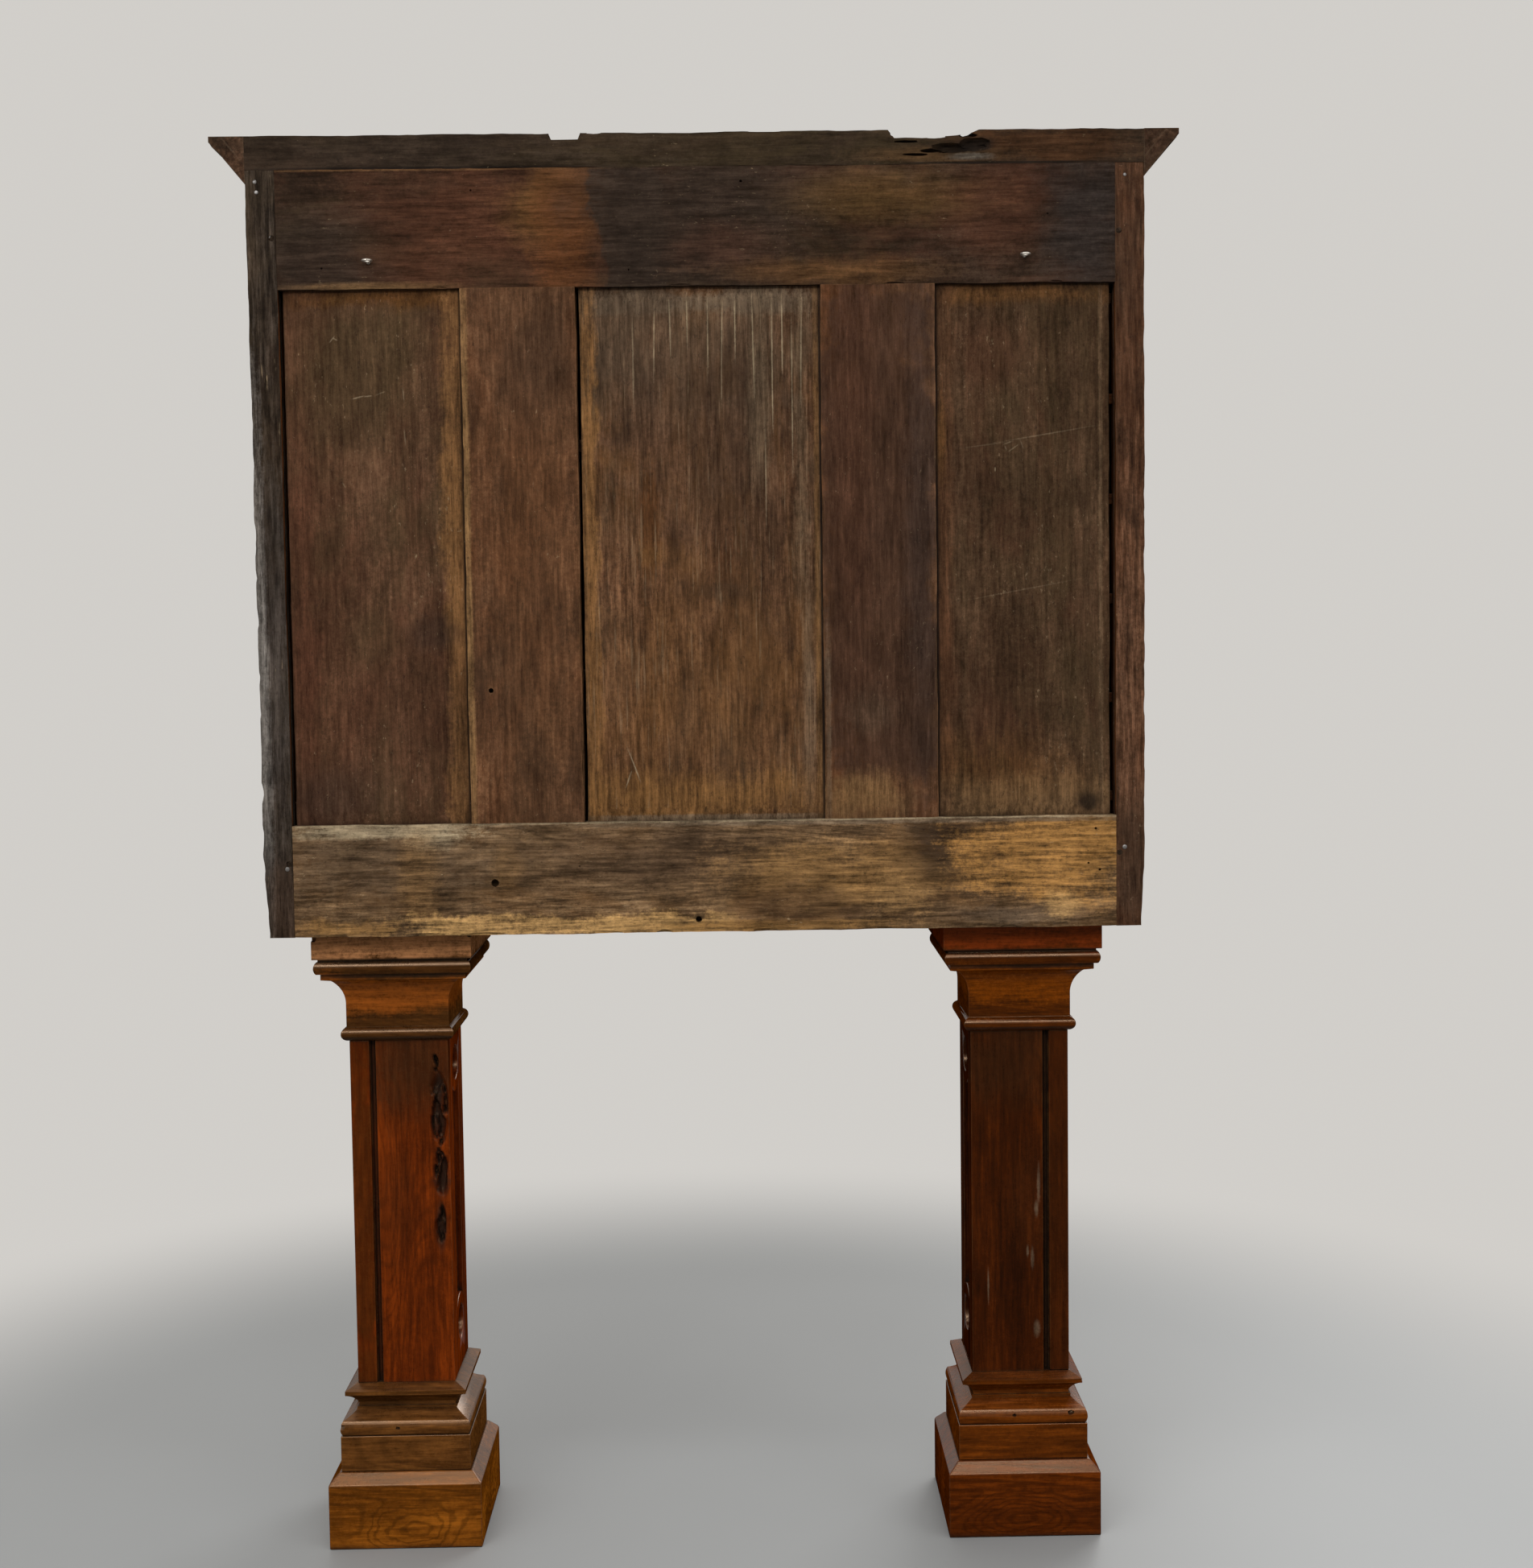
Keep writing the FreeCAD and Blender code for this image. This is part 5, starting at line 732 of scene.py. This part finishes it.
def worn_side(node, side, seed, splinter):
    """A side board with a ragged back arris, eaten away a little at its foot."""
    shape = planed(node, "Z", pitch=0.005, sway=(0.0010, 0.090), ripple=(0.0006, 0.018), seed=seed)
    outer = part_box(node)[1].x if side > 0 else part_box(node)[0].x
    for vert in shape.verts:
        x, y, z = vert.co
        near = fade(y, back_y - WORN_DEPTH, back_y) * fade((x - outer) * side, -WORN_WIDTH, 0.0)
        splinters = max(0.0, noise.noise(Vector((seed, z * 60, y * 30))) - 0.05)
        bites = max(0.0, noise.noise(Vector((seed + 4, z * 19, 0))) - 0.25) * 1.6
        most_worn = fade(z, 1.42, 1.20) * fade(z, 0.78, 0.92)
        bite = (splinters + bites) * splinter * (most_worn * 0.8 + 0.2)
        foot = fade(z, 0.860, 0.762) * FOOT_WEAR
        vert.co.x -= (bite + foot) * near * side
        vert.co.y -= bite * near * 0.6
    shape.normal_update()
    for face in shape.faces:
        faces_back = face.normal.y > 0.5
        face.material_index = 0 if faces_back else 1
    return shape


def nails():
    """Nail heads and peg ends in the two side boards' back edges."""
    shape = bmesh.new()
    for nail in ((511.7, 1644.8, 2.4), (510.2, 1632.9, 2.4), (496.7, 1582.1, 1.8), (500.9, 1565.6, 2.2),
                 (-500.4, 1644, 2), (495.9, 843.4, 2.8), (-499.1, 855.9, 2.8)):
        x, z, radius = metres(*nail)
        for vert in bmesh.ops.create_uvsphere(shape, u_segments=12, v_segments=6, radius=radius)["verts"]:
            vert.co = Vector((x + vert.co.x, back_y - 0.0002 + vert.co.y * 0.35, z + vert.co.z))
    return shape


def screw_eyes():
    """Two screw eyes: a ring on a shank that is driven into the back rail."""
    shape = bmesh.new()
    low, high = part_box("wall_eyes")
    wire, ring = 0.0013, 0.0063
    for side in (-1, 1):
        middle = Vector((side * (high.x - ring), high.y - ring, (low.z + high.z) / 2))
        start = bmesh.ops.create_circle(shape, segments=10, radius=wire,
                                        matrix=turned(middle + X * (ring - wire)))["verts"]
        edges = {edge for vert in start for edge in vert.link_edges}
        bmesh.ops.spin(shape, geom=[*start, *edges], cent=middle, axis=Z, angle=FULL_TURN, steps=28,
                       use_merge=True)
        foot = middle - Y * (ring - wire)
        length = foot.y - (back_y - 0.014)
        bmesh.ops.create_cone(shape, cap_ends=True, segments=12, radius1=0.0007, radius2=0.0015, depth=length,
                              matrix=turned(foot - Y * length / 2, -QUARTER_TURN))
        bmesh.ops.create_cone(shape, cap_ends=True, segments=14, radius1=0.0026, radius2=0.0017, depth=0.0016,
                              matrix=turned((foot.x, back_y + 0.0006, foot.z), -QUARTER_TURN))
    bmesh.ops.recalc_face_normals(shape, faces=shape.faces)
    return shape


RAIL, PANEL, CASE = "back_frame_wood", "back_panel_wood", "case_walnut"
board("back_top_rail", top_rail(), "top_rail")
board("back_bottom_rail", bottom_rail(), "bottom_rail")
board("back_muntins", muntins(), "muntins")
board("right_back_panel", shrunk("right_back_panel", low_gap=0, high_gap=0.0125, seed=41), "right_panel")
board("centre_back_panel", shrunk("centre_back_panel", low_gap=0.0070, high_gap=0.0125, seed=43), "centre_panel")
board("left_back_panel", shrunk("left_back_panel", low_gap=0.0145, high_gap=0, seed=47), "left_panel")
board("cornice_back_rail", broken_cornice_rail(), "cornice_rail", bevel=0.0008)
board("right_side", worn_side("right_side", side=1, seed=59, splinter=0.0036), ["right_side", "case_side"])
board("left_side", worn_side("left_side", side=-1, seed=61, splinter=0.0020), ["left_side", "case_side"])
finish_piece("nail_heads", nails(), [], "iron")
finish_piece("screw_eyes", screw_eyes(), ["wall_eyes"], "bright_iron")


# The pillars

QUIRK_INSET, QUIRK_RADIUS = 0.0036, 0.0040


def quirked_board(node):
    """A pillar's back board, with a hollow sunk beside the board that it meets."""
    low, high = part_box(node)
    outer = high.x if high.x > 0 else low.x
    trough = bmesh.new()
    place = Vector((outer - math.copysign(QUIRK_INSET, outer), high.y + 0.0004, (low.z + high.z) / 2))
    bmesh.ops.create_cone(trough, cap_ends=True, segments=16, radius1=QUIRK_RADIUS, radius2=QUIRK_RADIUS,
                          depth=(high.z - low.z) * 1.1,
                          matrix=Matrix.Translation(place) @ Matrix.Diagonal((1, 2.3, 1, 1)))
    return carved(merged(node), trough)


# The middle in x and z and the reach in x and z of each field of worm channels.
WORMED = ((0.3335, 0.541, 0.0115, 0.050), (0.3325, 0.458, 0.0095, 0.030), (0.3340, 0.392, 0.0070, 0.030),
          (0.3330, 0.500, 0.0060, 0.060), (0.3375, 0.595, 0.0050, 0.012))
WORM_DEPTH = 0.0085
WORM_LIMIT = 0.0012


def wormed_board(node):
    """The back board of the pillar that worms have eaten, with channels along the grain by one arris."""
    shape = quirked_board(node)
    soften(shape, 0.0009)
    score(shape, "X", low=0.3215, high=0.3535, pitch=0.0016)
    score(shape, "Z", low=0.330, high=0.610, pitch=0.0022)
    for vert in shape.verts:
        x, y, z = vert.co
        if y < pillar_back_y - WORM_LIMIT:
            continue
        eaten = 0.0
        for middle_x, middle_z, reach_x, reach_z in WORMED:
            away = math.hypot((x - middle_x) / reach_x, (z - middle_z) / reach_z)
            eaten = max(eaten, fade(away, 1.15, 0.55))
        ragged = noise.noise(Vector((x * 150, 5.0, z * 48))) + 0.5 * noise.noise(Vector((x * 420, 9.0, z * 150)))
        vert.co.y -= WORM_DEPTH * eaten * fade(ragged, -0.30, 0.08)
    return shape


def half_width(shape, middle, z):
    """How far a block reaches from its middle along x, at a height."""
    far = 0.0
    for edge in shape.edges:
        low, high = sorted((vert.co for vert in edge.verts), key=lambda place: place.z)
        if low.z <= z <= high.z and high.z > low.z:
            far = max(far, abs(low.lerp(high, (z - low.z) / (high.z - low.z)).x - middle))
    return far


def add_fillet(shape, node, z, height, stand_out):
    """Adds a thin square fillet round a block."""
    low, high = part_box(node)
    middle = (low + high) / 2
    width = 2 * (half_width(shape, middle.x, z) + stand_out)
    bmesh.ops.create_cube(shape, size=1.0, matrix=Matrix.Translation((middle.x, middle.y, z))
                          @ Matrix.Diagonal((width, width, height, 1)))


def chipped(node, chips):
    """A moulding with chips knocked off its corners."""
    cutters = bmesh.new()
    for number, (place, reach) in enumerate(chips):
        lump(cutters, place, (reach, reach, reach * 0.7), number + 5.0)
    return carved(merged(node), cutters)


WALNUT = "pillar_walnut"
for side in ("left", "right"):
    pillar = side + "_pillar_"
    for part in ("outer_board", "inner_board", "front_board"):
        dressed(pillar + part, side + "_shaft", WALNUT, bevel=0.0012)
    dressed(pillar + "plinth", side + "_plinth", WALNUT, bevel=0.0016)
    dressed(pillar + "die", side + "_blocks", WALNUT, bevel=0.0010)
    dressed(f"cornice_{side}_return", "cornice_return", CASE)
for node, make, bevel in (("right_pillar_back_board", wormed_board, 0.0),
                          ("left_pillar_back_board", quirked_board, 0.0010)):
    board(node, make(node), node.replace("pillar_", ""), bevel)
for node, chips in (
        ("left_pillar_base_moulding", [((-0.4600, 0.0990, 0.1915), 0.0085), ((-0.4530, 0.0985, 0.1960), 0.0060),
                                       ((-0.4400, 0.0985, 0.1500), 0.0040), ((-0.3700, 0.0992, 0.1480), 0.0030)]),
        ("right_pillar_base_moulding", [((0.4600, 0.0990, 0.1480), 0.0050), ((0.3900, 0.0994, 0.1460), 0.0030)]),
        ("left_pillar_capital", [((-0.2860, 0.1150, 0.7080), 0.0050)]),
        ("right_pillar_capital", [((0.4760, 0.1150, 0.7560), 0.0060), ((0.2860, 0.1155, 0.7580), 0.0040)])):
    shape = chipped(node, chips)
    if "base" in node:
        add_fillet(shape, node, z=0.1665, height=0.0030, stand_out=0.0020)
    finish = node.split("_")[0] + ("_blocks" if "base" in node else "_capital")
    board(node, shape, finish, bevel=0.0030)


# The case, the front and the fittings

FRONT = "front_walnut"
for piece in (
        ("cornice_front", "cornice", CASE),
        ("base_moulding", "cornice", CASE),
        ("pilasters", "upright", FRONT),
        ("door_frame", "upright", FRONT, "door"),
        ("door_panels", "panel", "panel_walnut", "door"),
        ("jamb_hinge_leaves", "brass", "brass", CABINET, 0.0003),
        ("door_hinge_leaves", "brass", "brass", "door", 0.0003),
        ("hinge_pins", "brass", "brass", CABINET, 0.0003),
        ("lock_fittings", "iron", "iron", "door", 0.0003),
        ("lock_bolt", "iron", "iron", "lock_bolt", 0.0003),
        ("key", "iron", "iron", "key", 0.0004),
        ("wooden_pegs", "end_grain", RAIL, CABINET, 0.0004),
        ("bottom_board", "cornice", CASE, CABINET, 0.0006),
        ("top_board", "inside", CASE, CABINET, 0.0006),
        ("drawer_shelves", "cornice", CASE, CABINET, 0.0006),
        ("centre_shelves", "cornice", CASE, CABINET, 0.0006),
        ("left_partition", "upright", CASE, CABINET, 0.0006),
        ("right_partition", "upright", CASE, CABINET, 0.0006)):
    dressed(*piece)


def islands(shape):
    """The separate solids of a shape, each as its faces."""
    waiting = set(shape.faces)
    while waiting:
        found = [waiting.pop()]
        for face in found:
            near = {other for edge in face.edges for other in edge.link_faces} & waiting
            waiting -= near
            found += near
        yield found


DRAWER_PARTS = ["drawer_front", "knob", "lining", "tray"]
TRAY_THINNEST, TRAY_THICKEST = 0.0065, 0.0085


def drawer(node):
    """A drawer: polished front, dark knob, dry sides and coin tray."""
    shape = joined(node)
    low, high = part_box(node)
    width = high.x - low.x
    for faces in islands(shape):
        corners = [vert.co for face in faces for vert in face.verts]
        spans = [max(c[n] for c in corners) - min(c[n] for c in corners) for n in range(3)]
        if spans[0] > width * 0.99:
            kind = "drawer_front"
        elif spans[0] < width * 0.1 and spans[1] < width * 0.2:
            kind = "knob"
        else:
            kind = "tray" if TRAY_THINNEST < spans[2] < TRAY_THICKEST else "lining"
        for face in faces:
            face.material_index = DRAWER_PARTS.index(kind)
    finish_piece(node + "_dressed", shape, [node], DRAWER_PARTS, node, 0.0007)


for side in ("left", "right"):
    for row in range(1, 8):
        drawer(f"{side}_drawer_{row}")


# Floor, light and camera

BACKDROP = (0.64, 0.62, 0.59)
FLOOR_TONE, FLOOR_CLOUD = (0.290, 0.296, 0.296), (0.262, 0.270, 0.274)
DAYLIGHT = (1.0, 0.98, 0.95)
FLOOR_RADIUS, FADE_START, FADE_END = 9.0, 0.95, 1.75


def lay_floor():
    """A pale floor that fades into the backdrop beyond the cabinet."""
    ground = bmesh.new()
    bmesh.ops.create_circle(ground, cap_ends=True, segments=96, radius=FLOOR_RADIUS)
    floor = built("floor", ground)
    it = Finish("floor_paint")
    cloud = it.spread(it.noise(it.place, 2.5, 4.0), 0.3, 0.7, 0.0, 0.25)
    it.set(Base_Color=it.blend(cloud, FLOOR_TONE, FLOOR_CLOUD), Roughness=0.5)
    far = it.spread(it.vector("LENGTH", it.place, result="Value"), FADE_START, FADE_END, slope="SMOOTHSTEP")
    glow = it.add("Emission", {"Color": BACKDROP, "Strength": 1.0}).outputs[0]
    faded = it.add("MixShader", {0: it.times(far, it.looked_at()),
                                           1: it.shader.outputs[0], 2: glow})
    it.put(it.tree.nodes["Material Output"].inputs["Surface"], faded.outputs[0])
    floor.data.materials.append(it.material)


def light_room():
    """Soft light that is strongest from above. The camera and mirrors see the backdrop."""
    world = bpy.data.worlds.new("room")
    bpy.context.scene.world = world
    world.use_nodes = True
    it = Graph(world.node_tree)
    it.tree.nodes.clear()
    up = it.add("SeparateXYZ", {0: it.add("TexCoord").outputs["Generated"]}).outputs["Z"]
    glow = it.add("Background", {"Color": DAYLIGHT, "Strength": it.spread(up, 0.05, 0.75, 0.16, 0.80)})
    backdrop = it.add("Background", {"Color": BACKDROP})
    chosen = it.add("MixShader", {0: it.looked_at(), 1: glow.outputs[0], 2: backdrop.outputs[0]})
    it.add("OutputWorld", {"Surface": chosen.outputs[0]})


def hang_lamp(name, place, aim, width, height, power):
    """A soft lamp at a place, turned to its aim, with its size in metres and its power in watts."""
    lamp = bpy.data.lights.new(name, "AREA")
    lamp.shape, lamp.size, lamp.size_y, lamp.energy = "RECTANGLE", width, height, power
    holder = placed(name, lamp)
    holder.location = place
    holder.rotation_euler = (Vector(aim) - Vector(place)).to_track_quat("-Z", "Y").to_euler()


# The camera's place in metres, its heading, pitch and roll in radians, and its lens in millimetres.
CAMERA_PLACE = (-0.0389, 2.51115, 1.085)
CAMERA_TURN = (0.01444, -0.06254, -0.01301)
SENSOR_WIDTH, FOCAL_LENGTH = 36.0, 45.887


def set_camera():
    """Stands the camera where the photographer stood, behind the cabinet and level with its middle."""
    heading, pitch, roll = CAMERA_TURN
    level = Vector((-math.sin(heading), -math.cos(heading), 0))
    ahead = level * math.cos(pitch) + Z * math.sin(pitch)
    right = Vector((-math.cos(heading), math.sin(heading), 0))
    up = right.cross(ahead)
    turned_right = right * math.cos(roll) + up * math.sin(roll)
    turned_up = up * math.cos(roll) - right * math.sin(roll)
    lens = bpy.data.cameras.new("camera")
    lens.sensor_fit = "AUTO"
    lens.sensor_width = SENSOR_WIDTH
    lens.lens = FOCAL_LENGTH
    camera = placed("camera", lens)
    turn = Matrix((turned_right, turned_up, -ahead)).transposed().to_4x4()
    camera.matrix_world = Matrix.Translation(CAMERA_PLACE) @ turn
    bpy.context.scene.camera = camera


lay_floor()
light_room()
for lamp in (
        ("ceiling_light", (0.2, 3.1, 2.7), (0, 0, 0.8), 3.0, 0.5, 40),
        ("roof_light", (0.1, 1.25, 3.1), (0, 0, 0.8), 2.2, 0.30, 12),
        ("window_light", (2.2, 2.9, 2.5), (0, 0, 0.9), 2.0, 1.6, 30),
        ("room_light", (-2.6, 2.2, 2.2), (0, 0, 0.8), 1.6, 1.6, 14),
        ("front_light", (-2.0, -2.8, 2.4), (0, 0, 0.9), 2.0, 1.6, 60)):
    hang_lamp(*lamp)
set_camera()
bpy.context.scene.view_settings.view_transform = "Standard"
